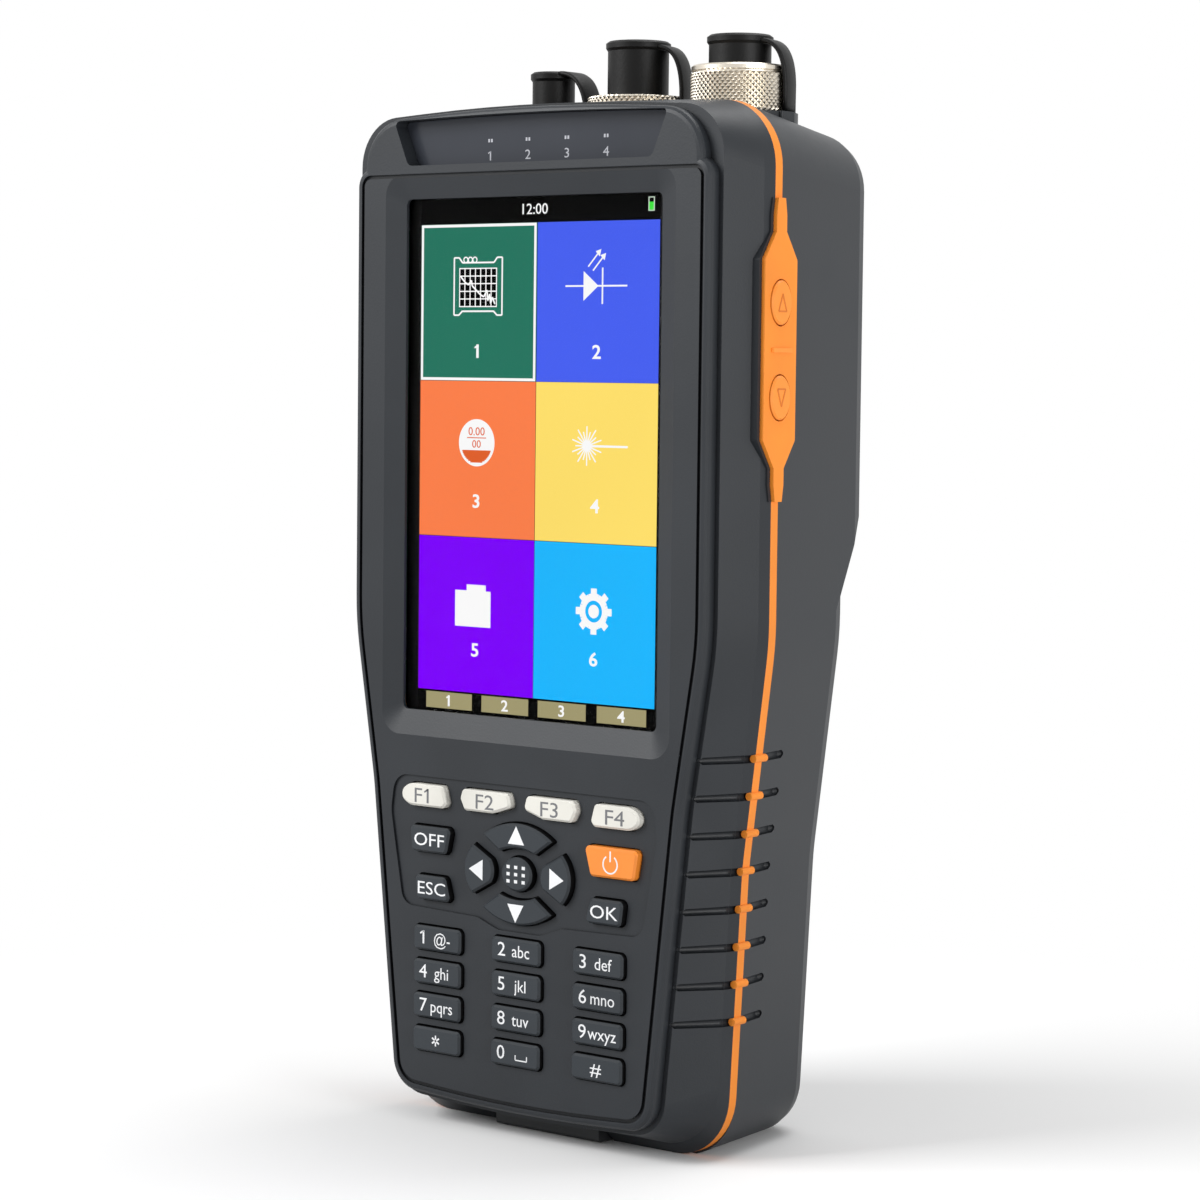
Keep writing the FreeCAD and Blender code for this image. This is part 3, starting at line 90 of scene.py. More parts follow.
# %% [markdown]
# ## Colours, nodes and pieces
# Paint and plastic colours are easiest to judge as sRGB hex codes, but shaders add light, so
# they want linear values. One function does that change. A second one adds a shader node with
# its settings and its links, which keeps every material below down to a few lines. Two more
# open a new material and turn a finished bmesh into a piece, as both happen again and again.

# %% Small helpers
def tint(code):
    """Linear colour of an sRGB hex code."""
    parts = [int(code[i:i + 2], 16) / 255 for i in (1, 3, 5)]
    return [*(c / 12.92 if c <= 0.04045 else ((c + 0.055) / 1.055) ** 2.4 for c in parts), 1.0]


def add_node(tree, kind, settings=None, links=None):
    """Adds one node; settings are inputs or properties, links are input: output."""
    node = tree.nodes.new(kind)
    for name, value in (settings or {}).items():
        if hasattr(node, name):
            setattr(node, name, value)
        else:
            node.inputs[name].default_value = value
    for name, source in (links or {}).items():
        tree.links.new(source, node.inputs[name])
    return node


def per_metre(millimetres):
    """Texture scale that repeats a pattern at a real size."""
    return 1 / (millimetres * MM)


def blank_material(name):
    """New material with its node tree, its shader and the piece's own coordinates."""
    material = bpy.data.materials.new(name)
    material.use_nodes = True
    tree = material.node_tree
    place = add_node(tree, "ShaderNodeTexCoord").outputs["Object"]
    return material, tree, tree.nodes["Principled BSDF"], place


def keep_piece(mesh, name, material):
    """Turns a bmesh into a piece of one material at the origin."""
    data = bpy.data.meshes.new(name)
    mesh.to_mesh(data)
    mesh.free()
    data.materials.append(material)
    piece = bpy.data.objects.new(name, data)
    bpy.context.collection.objects.link(piece)
    print(name, len(data.polygons), "faces")
    return piece


bpy.context.scene.view_settings.view_transform = "Standard"
print("mid grey #808080 is linear", round(tint("#808080")[0], 3))

# %% [markdown]
# ## A moulded surface
# Nearly everything here came out of a steel mould: ABS for the shells and keys, soft rubber
# for the seal, the caps and the side pad. A mould is spark-eroded, which leaves a fine, even
# grain of a few tenths of a millimetre. Handling polishes the peaks a little, so gloss varies
# slowly from place to place. Both are noise in the surface's own space, at their real size.
# The bottoms of grooves and recesses get painted shade: the colour darkens by how closed in a
# point is, over the two millimetres around it.
# The keys get painted shade on their flanks, which are darker than their slate fronts.

# %% Moulded finishes
GLOSS_PATCH = 18.0         # mm across a patch of more or less gloss
GROOVE = 2.2               # mm around a point that can close it in


def moulded(name, code, roughness, grain, depth, mottle=0.06, groove_shade=0.0, flank_shade=None, **extra):
    """Plastic or rubber: grain size and depth (mm), a slow change of gloss, painted shade that
    darkens recesses and, for what faces -Y, a front lighter than the painted shade on the flanks."""
    material, tree, shader, place = blank_material(name)
    fine = add_node(tree, "ShaderNodeTexNoise", {"Scale": per_metre(grain), "Detail": 3.0},
                    {"Vector": place})
    slow = add_node(tree, "ShaderNodeTexNoise", {"Scale": per_metre(GLOSS_PATCH), "Detail": 2.0},
                    {"Vector": place})
    shades = add_node(tree, "ShaderNodeValToRGB", links={"Fac": slow.outputs["Fac"]})
    base = tint(code)
    for stop, share in zip(shades.color_ramp.elements, (1 - mottle, 1 + mottle)):
        stop.color = [min(1.0, part * share) for part in base[:3]] + [1.0]
    shades.color_ramp.elements[0].position = 0.35
    shades.color_ramp.elements[1].position = 0.65
    gloss = add_node(tree, "ShaderNodeMapRange",
                     {"To Min": roughness - 0.05, "To Max": roughness + 0.05},
                     {"Value": slow.outputs["Fac"]})
    relief = add_node(tree, "ShaderNodeBump", {"Strength": 0.6, "Distance": depth * MM},
                      {"Height": fine.outputs["Fac"]})
    colour = shades.outputs["Color"]
    # painted shade: the colour darkens at the bottoms of grooves and recesses, by how closed in a
    # point is
    if groove_shade:
        closed = add_node(tree, "ShaderNodeAmbientOcclusion",
                          {"samples": 6, "only_local": True, "Distance": GROOVE * MM})
        share = add_node(tree, "ShaderNodeMapRange",
                         {"From Min": 0.25, "From Max": 0.75, "To Min": 1 - groove_shade},
                         {"Value": closed.outputs["AO"]})
        colour = add_node(tree, "ShaderNodeHueSaturation", links={
            "Color": colour, "Value": share.outputs["Result"]}).outputs["Color"]
    # painted shade: faces turned away from -Y get the darker flank colour
    if flank_shade:
        facing = add_node(tree, "ShaderNodeSeparateXYZ", links={
            "Vector": add_node(tree, "ShaderNodeNewGeometry").outputs["Normal"]})
        front = add_node(tree, "ShaderNodeMapRange", {"From Min": -0.55, "From Max": -0.75},
                         {"Value": facing.outputs["Y"]})
        flank_shading = add_node(tree, "ShaderNodeMix", {"data_type": "RGBA"})
        flank_shading.inputs[6].default_value = tint(flank_shade)
        tree.links.new(front.outputs["Result"], flank_shading.inputs["Factor"])
        tree.links.new(colour, flank_shading.inputs[7])
        colour = flank_shading.outputs[2]
    tree.links.new(colour, shader.inputs["Base Color"])
    tree.links.new(gloss.outputs["Result"], shader.inputs["Roughness"])
    tree.links.new(relief.outputs["Normal"], shader.inputs["Normal"])
    for socket, value in extra.items():
        shader.inputs[socket.replace("_", " ")].default_value = value
    return material


print("moulded finishes have patches of gloss", GLOSS_PATCH, "mm wide")

# %% [markdown]
# ## Plastics and rubbers of this tester
# Each finish is named for its plastic and how its mould was made. Roughness around 0.45 is the
# usual value for a fine spark-eroded grain, 0.4 for a satin one and 0.2 for polished acrylic.
# Black and charcoal mouldings scatter more than they mirror, so their specular level is low.

# %% Plastics and rubbers
# ABS shells, spark eroded: matt charcoal with soft highlights, and painted shade that makes the
# grooves blacker
SHELL = moulded("ABS_spark_grain_grey", "#282b2f", 0.44, 0.35, 0.03, groove_shade=0.9,
                Specular_IOR_Level=0.28)
DOOR = moulded("ABS_spark_grain_door", "#26282c", 0.47, 0.35, 0.03, Specular_IOR_Level=0.28)
# thermoplastic rubber, moulded soft: a warm orange that light enters a little way
SEAL = moulded("TPE_soft_orange", "#f28a24", 0.55, 0.3, 0.015, Subsurface_Weight=0.05)
SIDE_KEY = moulded("TPE_soft_orange_key", "#f79230", 0.5, 0.3, 0.012, Subsurface_Weight=0.05)
# painted shade: the raised side-key arrows are a darker orange than their keys
SHADED_ARROW = moulded("TPE_soft_orange_arrow", "#d9731a", 0.5, 0.3, 0.012, Subsurface_Weight=0.05)
# ABS key caps, satin: a wide, soft sheen; ivory and orange are even in colour, slate gets painted
# shade on its flanks
KEY_SLATE = moulded("ABS_satin_slate", "#2e3338", 0.42, 0.25, 0.008, flank_shade="#050506",
                    Specular_IOR_Level=0.3)
KEY_IVORY = moulded("ABS_satin_ivory", "#dcdad2", 0.4, 0.25, 0.006)
KEY_ORANGE = moulded("ABS_satin_orange", "#f08a2e", 0.4, 0.25, 0.006)
# EPDM caps and straps: deep black, with a dull gleam on round sides
RUBBER = moulded("EPDM_black_rubber", "#060606", 0.46, 0.5, 0.05, Specular_IOR_Level=0.2)
COVER = moulded("TPE_dark_grey", "#232527", 0.6, 0.35, 0.03)
# inside: dark mat, green boards, blue battery sleeve, black sockets
MAT = moulded("silicone_mat_black", "#0d0d0e", 0.55, 0.5, 0.01)
BOARD = moulded("solder_mask_green", "#125a38", 0.35, 1.2, 0.02)
WRAP = moulded("PVC_shrink_sleeve", "#1d4a8c", 0.3, 1.5, 0.02)
SOCKET = moulded("PBT_black_socket", "#16161a", 0.45, 0.3, 0.01)
# acrylic window, polished, and the black mask printed round the display
WINDOW = moulded("PMMA_grey_window", "#34373e", 0.22, 6.0, 0.002, mottle=0.03,
                 Specular_IOR_Level=0.25)
PANEL = moulded("display_bezel_black", "#040405", 0.5, 0.5, 0.001, Specular_IOR_Level=0.1)
# pad-printed ink: flat and opaque
INK_WHITE = moulded("ink_white", "#e9eaec", 0.5, 0.2, 0.002)
INK_GREY = moulded("ink_grey", "#6a6b6e", 0.5, 0.2, 0.002)
INK_DIM = moulded("ink_dim_grey", "#a9abb2", 0.5, 0.2, 0.002)
print(len(bpy.data.materials), "materials so far")

# %% [markdown]
# ## Metals
# The port nuts and barrels are brass under a nickel plate, turned and then knurled. Nickel is
# a warm, slightly yellow grey. Turning leaves fine rings across the axis, a twentieth of a
# millimetre apart, which smear the highlight round the part. They are too fine for a picture
# of the whole tester, so they are drawn about two millimetres apart.

# %% Turned and rolled metal
WAVE_RADIANS = 20          # phase of the wave texture in one unit at scale 1


def metal(name, code, roughness, pitch, depth):
    """Turned metal: rings along Z at a pitch (mm)."""
    material, tree, shader, place = blank_material(name)
    rings = add_node(tree, "ShaderNodeTexWave",
                     {"bands_direction": "Z", "Distortion": 1.5,
                      "Scale": math.tau / WAVE_RADIANS * per_metre(pitch)}, {"Vector": place})
    wear = add_node(tree, "ShaderNodeTexNoise", {"Scale": per_metre(2.5), "Detail": 4.0},
                    {"Vector": place})
    gloss = add_node(tree, "ShaderNodeMapRange",
                     {"To Min": roughness - 0.08, "To Max": roughness + 0.1},
                     {"Value": wear.outputs["Fac"]})
    relief = add_node(tree, "ShaderNodeBump", {"Strength": 0.4, "Distance": depth * MM},
                      {"Height": rings.outputs["Fac"]})
    shader.inputs["Base Color"].default_value = tint(code)
    shader.inputs["Metallic"].default_value = 1.0
    tree.links.new(gloss.outputs["Result"], shader.inputs["Roughness"])
    tree.links.new(relief.outputs["Normal"], shader.inputs["Normal"])
    return material


# turned barrels gleam, the knurl sparkles, screws are dull, the cases are pale and brushed
NICKEL = metal("brass_nickel_plated", "#cfc8bc", 0.28, 1.885, 0.01)
KNURL = metal("brass_nickel_knurled", "#d8d0c2", 0.3, 1.885, 0.004)
SCREW = metal("steel_black_oxide", "#4b4b4e", 0.4, 1.885, 0.01)
CASE = metal("aluminium_brushed", "#c4c6c9", 0.35, 3.77, 0.01)
print(len(bpy.data.materials), "materials so far")

# %% [markdown]
# ## The display's glass
# A clear cover lens lies over the display. It is a thin acrylic sheet with a coating against
# reflections, so it bends light like acrylic but mirrors less than bare glass would.

# %% Glass
def clear_glass(name, code, roughness, bend):
    """Clear sheet: roughness, uneven by smears a few centimetres long, and how it bends light."""
    material, tree, shader, place = blank_material(name)
    smears = add_node(tree, "ShaderNodeTexNoise", {"Scale": per_metre(25.0), "Detail": 2.0},
                      {"Vector": place})
    gloss = add_node(tree, "ShaderNodeMapRange", {"To Min": roughness, "To Max": roughness + 0.04},
                     {"Value": smears.outputs["Fac"]})
    shader.inputs["Base Color"].default_value = tint(code)
    shader.inputs["Transmission Weight"].default_value = 1.0
    shader.inputs["IOR"].default_value = bend
    tree.links.new(gloss.outputs["Result"], shader.inputs["Roughness"])
    return material


COATED_BEND = 1.06
LENS_GLASS = clear_glass("PMMA_coated_lens", "#ffffff", 0.0, COATED_BEND)
print("display lens bends light by", COATED_BEND)

# %% [markdown]
# ## Finishes on the frame's own pieces
# Most pieces keep the frame's shape and only change their finish, so a table from finish to
# piece names is all it takes. The keys that a thumb looks for first are pale or orange.

# %% Paint the frame
FINISHES = {
    SHELL: ["front_shell", "rear_shell"],
    DOOR: ["battery_door"],
    SEAL: ["parting_seal", "side_button_pad"],
    SIDE_KEY: ["side_button_up", "side_button_down"],
    KEY_IVORY: ["key_f1", "key_f2", "key_f3", "key_f4"],
    KEY_ORANGE: ["key_power"],
    RUBBER: ["vfl_cap", "opm_cap", "otdr_cap", "vfl_strap", "opm_strap", "otdr_strap"],
    COVER: ["port_cover"],
    MAT: ["keypad_mat"],
    BOARD: ["keypad_board", "main_board", "led_board"],
    WRAP: ["battery_pack"],
    SOCKET: ["dc_jack"],
    WINDOW: ["led_window"],
    PANEL: ["lcd_module"],
    NICKEL: ["vfl_port", "opm_port", "otdr_port", "opm_nut", "otdr_nut"],
    SCREW: ["housing_screws", "battery_door_screws"],
    CASE: ["optics_module", "usb_socket"],
    LENS_GLASS: ["display_lens"],
}
for finish, names in FINISHES.items():
    for name in names:
        for place in nodes[name].material_slots:
            place.material = finish
painted = {name for names in FINISHES.values() for name in names}
for name in set(nodes) - painted:
    for place in nodes[name].material_slots:
        place.material = KEY_SLATE
print(len(nodes) - len(painted), "keys in slate")

# %% [markdown]
# ## Drawing with thin plates
# Legends and screen icons are ink or light, but the exported model keeps only geometry and
# materials. So each mark is a plate a few hundredths of a millimetre thick, lying on its
# surface. One drawing board collects plates of one colour into a single mesh. Its sheet is
# upright, as the tester is: across is X, up is Z, and it faces the reader.

# %% The drawing board
CAPITAL = 0.7              # capital height of the typeface at size 1


class Board:
    """Plates of one finish on an upright plane at depth y, joined in one mesh (sizes in mm)."""

    def __init__(self, y, thickness=0.05):
        self.mesh = bmesh.new()
        self.y = y
        self.thickness = thickness

    def place(self, flat, x, z, turn=0.0):
        """Stands a flat XY drawing up at a point, thickens it and keeps it."""
        bmesh.ops.rotate(flat, verts=flat.verts, matrix=Matrix.Rotation(turn, 3, "Z"))
        bmesh.ops.rotate(flat, verts=flat.verts, matrix=Matrix.Rotation(math.radians(90), 3, "X"))
        bmesh.ops.translate(flat, verts=flat.verts, vec=(x, self.y, z))
        bmesh.ops.recalc_face_normals(flat, faces=flat.faces)
        for face in flat.faces:
            if face.normal.y > 0:
                face.normal_flip()
        bmesh.ops.solidify(flat, geom=flat.faces, thickness=self.thickness)
        bmesh.ops.recalc_face_normals(flat, faces=flat.faces)
        bmesh.ops.scale(flat, verts=flat.verts, vec=(MM, MM, MM))
        kept = bpy.data.meshes.new("flat")
        flat.to_mesh(kept)
        flat.free()
        self.mesh.from_mesh(kept)
        bpy.data.meshes.remove(kept)

    def bar(self, x, z, width, height, turn=0.0):
        flat = bmesh.new()
        bmesh.ops.create_grid(flat, x_segments=1, y_segments=1, size=0.5)
        bmesh.ops.scale(flat, verts=flat.verts, vec=(width, height, 1))
        self.place(flat, x, z, turn)

    def line(self, x0, z0, x1, z1, width):
        run = math.hypot(x1 - x0, z1 - z0)
        self.bar((x0 + x1) / 2, (z0 + z1) / 2, run, width, math.atan2(z1 - z0, x1 - x0))

    def disc(self, x, z, radius, sides=24, turn=0.0, stretch=1.0):
        flat = bmesh.new()
        bmesh.ops.create_circle(flat, cap_ends=True, segments=sides, radius=radius)
        bmesh.ops.scale(flat, verts=flat.verts, vec=(1, stretch, 1))
        self.place(flat, x, z, turn)

    def ring(self, x, z, radius, width, gap=0.0, sides=32):
        """Ring of small bars; gap is the open angle at its top, in degrees."""
        steps = [math.radians(90 + gap / 2 + index * (360 - gap) / sides)
                 for index in range(sides + 1)]
        for start, end in zip(steps, steps[1:]):
            self.line(x + radius * math.cos(start), z + radius * math.sin(start),
                      x + radius * math.cos(end), z + radius * math.sin(end), width)

    def path(self, points, width):
        for (x0, z0), (x1, z1) in zip(points, points[1:]):
            self.line(x0, z0, x1, z1, width)

    def text(self, words, x, z, height, stretch=1.2, weight=0.0):
        """Plain lettering of a capital height about a middle; weight fattens the strokes. A
        last 1 gets the flag that the typeface leaves out."""
        curve = bpy.data.curves.new("words", "FONT")
        curve.body = words
        curve.size = height / CAPITAL
        curve.offset = weight * height
        curve.align_x = "CENTER"
        curve.resolution_u = 3
        holder = bpy.data.objects.new("words", curve)
        bpy.context.collection.objects.link(holder)
        bpy.context.view_layer.update()
        drawn = bpy.data.meshes.new_from_object(holder)
        flat = bmesh.new()
        flat.from_mesh(drawn)
        bmesh.ops.remove_doubles(flat, verts=flat.verts, dist=1e-5)
        bmesh.ops.translate(flat, verts=flat.verts, vec=(0, -height / 2, 0))
        bmesh.ops.scale(flat, verts=flat.verts, vec=(stretch, 1, 1))
        edge = x + max(vert.co.x for vert in flat.verts)
        self.place(flat, x, z)
        if words.endswith("1"):
            self.line(edge - 0.4 * height, z + 0.24 * height,
                      edge - 0.08 * height, z + 0.44 * height, 0.12 * height)
        bpy.data.objects.remove(holder)
        bpy.data.curves.remove(curve)
        bpy.data.meshes.remove(drawn)

    def finish(self, name, material, body, slot, turn=0.0):
        """Makes the piece; turn swings the whole sheet about Z, so that it can face sideways."""
        bmesh.ops.rotate(self.mesh, verts=self.mesh.verts, matrix=Matrix.Rotation(turn, 3, "Z"))
        piece = keep_piece(self.mesh, name, material)
        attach(piece, body)


print("a board draws with", [name for name in vars(Board) if not name.startswith("_")])

# %% [markdown]
# ## Light from the display
# A liquid crystal panel glows by itself. Each field of the picture is a plate that emits its
# own colour, a little uneven, as the backlight behind it is.

# %% Lit colours
def lit(name, code, strength=1.0):
    material, tree, shader, place = blank_material(name)
    slow = add_node(tree, "ShaderNodeTexNoise", {"Scale": per_metre(40.0), "Detail": 1.0},
                    {"Vector": place})
    shades = add_node(tree, "ShaderNodeValToRGB", links={"Fac": slow.outputs["Fac"]})
    base = tint(code)
    for stop, share in zip(shades.color_ramp.elements, (0.94, 1.04)):
        stop.color = [part * share for part in base[:3]] + [1.0]
    tree.links.new(shades.outputs["Color"], shader.inputs["Emission Color"])
    shader.inputs["Emission Strength"].default_value = strength
    shader.inputs["Base Color"].default_value = tint("#050505")
    shader.inputs["Specular IOR Level"].default_value = 0.0
    shader.inputs["Roughness"].default_value = 0.6
    return material


SCREEN_X, SCREEN_Z = 0.0, 123.5
SCREEN_WIDE, SCREEN_HIGH = 56.16, 93.6
LCD_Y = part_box("lcd_module")[0].y / MM
BACK_Y, TILE_Y, MARK_Y = LCD_Y - 0.02, LCD_Y - 0.08, LCD_Y - 0.14
print("display glass at y", round(LCD_Y, 2), "mm")

# %% [markdown]
# ## The home page on the display
# The tester starts on a page of six coloured fields with a pictogram in each, a clock above
# and four soft-key labels below. Words are left out: plain numbers take their places.

# %% Display fields
screen = Board(BACK_Y)
screen.bar(SCREEN_X, SCREEN_Z, SCREEN_WIDE, SCREEN_HIGH)
screen.finish("screen_background", lit("lcd_black", "#030303"), HOUSING, "display")

COLUMNS = (-14.0, 14.05)
ROWS = (28.05, -0.4, -28.9)
FIELD_WIDE, FIELD_HIGH = 27.9, 28.4
FIELDS = [("#26745f", "#4760f0"), ("#fb7f4a", "#fedf6b"), ("#7b00fa", "#1cb6fe")]
for row, (z, pair) in enumerate(zip(ROWS, FIELDS)):
    for column, (x, code) in enumerate(zip(COLUMNS, pair)):
        field = Board(TILE_Y)
        field.bar(x, SCREEN_Z + z, FIELD_WIDE, FIELD_HIGH)
        field.finish(f"screen_field_{2 * row + column + 1}", lit(f"lcd_field_{code[1:]}", code),
                     HOUSING, "display")

soft = Board(TILE_Y)
SOFT_KEYS = (-20.3, -6.7, 6.8, 20.6)
SOFT_Z = SCREEN_Z - 44.95
for x in SOFT_KEYS:
    soft.bar(x, SOFT_Z, 11.2, 3.0)
soft.finish("screen_soft_keys", lit("lcd_khaki", "#a09870"), HOUSING, "display")

# %% [markdown]
# ## Numbers and pictograms
# The white marks on the display all share one board, so they end up in one mesh. Each number
# stands below its pictogram. Its place in the field differs a little from row to row.

# %% Numbers, clock and chosen field
marks = Board(MARK_Y)
NUMBER_DROP = (8.8, 7.6, 6.3)
spots = [(row, x) for row in range(3) for x in COLUMNS]
for number, (row, x) in enumerate(spots, start=1):
    marks.text(str(number), x, SCREEN_Z + ROWS[row] - NUMBER_DROP[row], 2.4, weight=0.025)
for number, x in enumerate(SOFT_KEYS, start=1):
    marks.text(str(number), x, SOFT_Z, 2.0, weight=0.02)
marks.text("12:00", -0.8, SCREEN_Z + 44.7, 1.9, stretch=1.1)

for side in (-1, 1):
    marks.bar(COLUMNS[0] + side * 13.6, SCREEN_Z + ROWS[0], 0.5, 28.2)
    marks.bar(COLUMNS[0], SCREEN_Z + ROWS[0] + side * 13.9, 27.7, 0.5)
print(len(spots), "fields numbered")

# %% [markdown]
# ## The trace plotter
# The first pictogram is the instrument itself: a case with bumpers, three ports on top, and a
# gridded screen. The trace falls as light fades along a fibre, with a spike at the far end.

# %% Plotter pictogram
PLOTTER_X, PLOTTER_Z = COLUMNS[0], SCREEN_Z + ROWS[0] + 2.9
CASE_OUTLINE = [(-5.8, 5.2), (-4.6, 5.2), (-3.8, 4.3), (3.8, 4.3), (4.6, 5.2), (5.8, 5.2),
                (5.8, -5.2), (4.6, -5.2), (3.8, -4.5), (-3.8, -4.5), (-4.6, -5.2), (-5.8, -5.2),
                (-5.8, 5.2)]
TRACE = [(-4.3, 1.9), (-3.1, 0.7), (-2.3, 0.3), (-1.6, 1.1), (-1.4, 0.1), (0.6, -1.5),
         (1.4, -1.9), (2.2, -0.7), (2.4, -2.6), (2.8, -1.4), (3.1, -3.1), (3.5, -2.0), (4.1, -3.2)]
marks.path([(PLOTTER_X + x, PLOTTER_Z + z) for x, z in CASE_OUTLINE], 0.3)
for x in (-3.0, -1.9, -0.8):
    marks.ring(PLOTTER_X + x, PLOTTER_Z + 4.8, 0.5, 0.22, sides=14)
GRID_COLUMNS, GRID_ROWS = 8, 6
for step in range(GRID_COLUMNS):
    marks.bar(PLOTTER_X - 4.45 + step * 8.9 / (GRID_COLUMNS - 1), PLOTTER_Z - 0.2, 0.2, 7.1)
for step in range(GRID_ROWS):
    marks.bar(PLOTTER_X, PLOTTER_Z - 3.65 + step * 6.9 / (GRID_ROWS - 1), 9.1, 0.2)
marks.path([(PLOTTER_X + x, PLOTTER_Z + z) for x, z in TRACE], 0.3)
print("trace of", len(TRACE), "points")

# %% [markdown]
# ## Diode, meter and light source
# A laser shows as a diode that sends out two rays, the power meter as a round dial, and the
# light source as a burst with one long beam.

# %% Diode, meter and burst
x, z = COLUMNS[1], PLOTTER_Z - 0.1
marks.line(x - 7.3, z, x + 6.8, z, 0.3)
marks.disc(x - 2.0, z, 3.0, sides=3, turn=math.radians(-90), stretch=0.75)
marks.bar(x + 1.2, z, 0.3, 6.4)
for across, up in ((-2.1, 3.4), (-1.0, 2.7)):
    marks.line(x + across, z + up, x + across + 2.5, z + up + 2.6, 0.25)
    marks.disc(x + across + 2.4, z + up + 2.5, 0.75, sides=3, turn=math.radians(-44))

DIAL_X, DIAL_Z = COLUMNS[0], SCREEN_Z + ROWS[1] + 3.0
marks.disc(DIAL_X, DIAL_Z, 4.3, sides=48)

RAYS = 20
burst_x, burst_z = COLUMNS[1] - 2.0, DIAL_Z
for step in range(RAYS):
    angle = math.radians(step * 360 / RAYS)
    reach = 3.5 if step % 2 else 2.6
    marks.line(burst_x, burst_z, burst_x + reach * math.cos(angle),
               burst_z + reach * math.sin(angle), 0.24)
marks.disc(burst_x, burst_z, 1.0)
marks.bar(COLUMNS[1] + 2.7, burst_z, 9.2, 0.4)
print("burst of", RAYS, "rays")

# %% [markdown]
# ## Folder and cog
# The stored files and the settings have the two pictograms that every menu uses. A cog is a
# thick ring with eight short teeth and a hub.

# %% Folder and cog
x, z = COLUMNS[0] - 0.6, SCREEN_Z + ROWS[2] + 1.2
marks.bar(x, z, 8.6, 6.6)
marks.bar(x + 0.8, z + 3.7, 4.6, 1.4)

TEETH = 8
x, z = COLUMNS[1], SCREEN_Z + ROWS[2] + 2.2
marks.ring(x, z, 2.6, 1.3)
for step in range(TEETH):
    angle = math.radians(step * 360 / TEETH)
    marks.line(x + 2.8 * math.cos(angle), z + 2.8 * math.sin(angle),
               x + 4.1 * math.cos(angle), z + 4.1 * math.sin(angle), 1.3)
marks.disc(x, z, 1.2)
marks.finish("screen_marks", lit("lcd_white", "#fafafa"), HOUSING, "display")

# %% [markdown]
# ## Colours over and under the white marks
# A dark glass lies behind the plotter's grid. A reading and a filled segment lie on the round
# dial, and a small battery shows its charge in the corner.

# %% Dark glass, dial reading and battery
glass = Board(TILE_Y - 0.03)
glass.bar(PLOTTER_X, PLOTTER_Z - 0.2, 8.9, 6.9)
glass.finish("screen_plotter_glass", lit("lcd_plotter_black", "#020202"), HOUSING, "display")

dial = Board(MARK_Y - 0.04)
dial.text("0.00", DIAL_X, DIAL_Z + 2.1, 1.5, stretch=1.1)
dial.bar(DIAL_X, DIAL_Z + 0.9, 4.6, 0.18)
dial.text("00", DIAL_X, DIAL_Z - 0.2, 1.4, stretch=1.1)
SEGMENT_RADIUS, SEGMENT_BARS = 3.75, 8
for step in range(SEGMENT_BARS):
    height = -1.5 - step * 0.28
    dial.bar(DIAL_X, DIAL_Z + height, 2 * math.sqrt(SEGMENT_RADIUS ** 2 - height ** 2), 0.3)
dial.finish("screen_dial_marks", lit("lcd_dial_orange", "#e0602c"), HOUSING, "display")

battery = Board(MARK_Y)
cell_x, cell_z = SCREEN_X + 26.1, SCREEN_Z + 45.0
for side in (-1, 1):
    battery.bar(cell_x + side * 0.6, cell_z, 0.15, 2.3)
    battery.bar(cell_x, cell_z + side * 1.15, 1.35, 0.15)
battery.finish("screen_battery_case", lit("lcd_pale_grey", "#d8ead8"), HOUSING, "display")
charge = Board(MARK_Y)
charge.bar(cell_x, cell_z - 0.35, 1.0, 1.4)
charge.finish("screen_battery_mark", lit("lcd_green", "#3fe23f"), HOUSING, "display")

# %% [markdown]
# ## Printed legends
# Key legends are pad-printed ink, white on the slate keys and grey on the ivory ones. They
# ride on their keys, so they go down with them. A board lies on each key's face, and its
# middle comes from the key's own box.

# %% Words on the keys
INK_Y = -0.015             # mm that ink stands in front of its key
INK_THICK = 0.03


def face_of(name):
    """Middle of a piece's front, in mm, and a drawing board that lies on it."""
    low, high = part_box(name)
    board = Board(low.y / MM + INK_Y, INK_THICK)
    return (low.x + high.x) / 2 / MM, (low.z + high.z) / 2 / MM, board


LEGENDS = {
    "key_f1": "F1", "key_f2": "F2", "key_f3": "F3", "key_f4": "F4",
    "key_off": "OFF", "key_esc": "ESC", "key_ok": "OK", "key_hash": "#",
}
for name, words in LEGENDS.items():
    x, z, ink = face_of(name)
    pale = name.startswith("key_f")
    ink.text(words, x, z, 2.7 if pale else 2.35, stretch=1.3)
    ink.finish(f"{name}_legend", INK_GREY if pale else INK_WHITE, name,
               "ivory_key" if pale else "slate_key")

# %% [markdown]
# ## The number keys
# A number key has its digit at the left and the usual telephone letters beside it. The zero
# has the sign for a space instead, an open bracket lying down.

# %% Digits and letter groups
GROUPS = {1: "@-", 2: "abc", 3: "def", 4: "ghi", 5: "jkl", 6: "mno", 7: "pqrs", 8: "tuv",
          9: "wxyz", 0: ""}
SPACE_SIGN = [(0.3, 0.0), (0.3, -0.9), (3.0, -0.9), (3.0, 0.0)]
for digit, letters in GROUPS.items():
    x, z, ink = face_of(f"key_{digit}")
    ink.text(str(digit), x - 3.2, z + 0.2, 2.5, stretch=1.15)
    if letters:
        ink.text(letters, x + 1.35, z + 0.1, 2.2, stretch=1.0)
    else:
        ink.path([(x + across, z + up) for across, up in SPACE_SIGN], 0.22)
    ink.finish(f"key_{digit}_legend", INK_WHITE, f"key_{digit}", "slate_key")

# %% [markdown]
# ## Signs on the other keys
# The four keys of the ring point up, left, down and right, so one triangle is turned to fit.
# The star, the nine dots and the power sign are a few bars each.

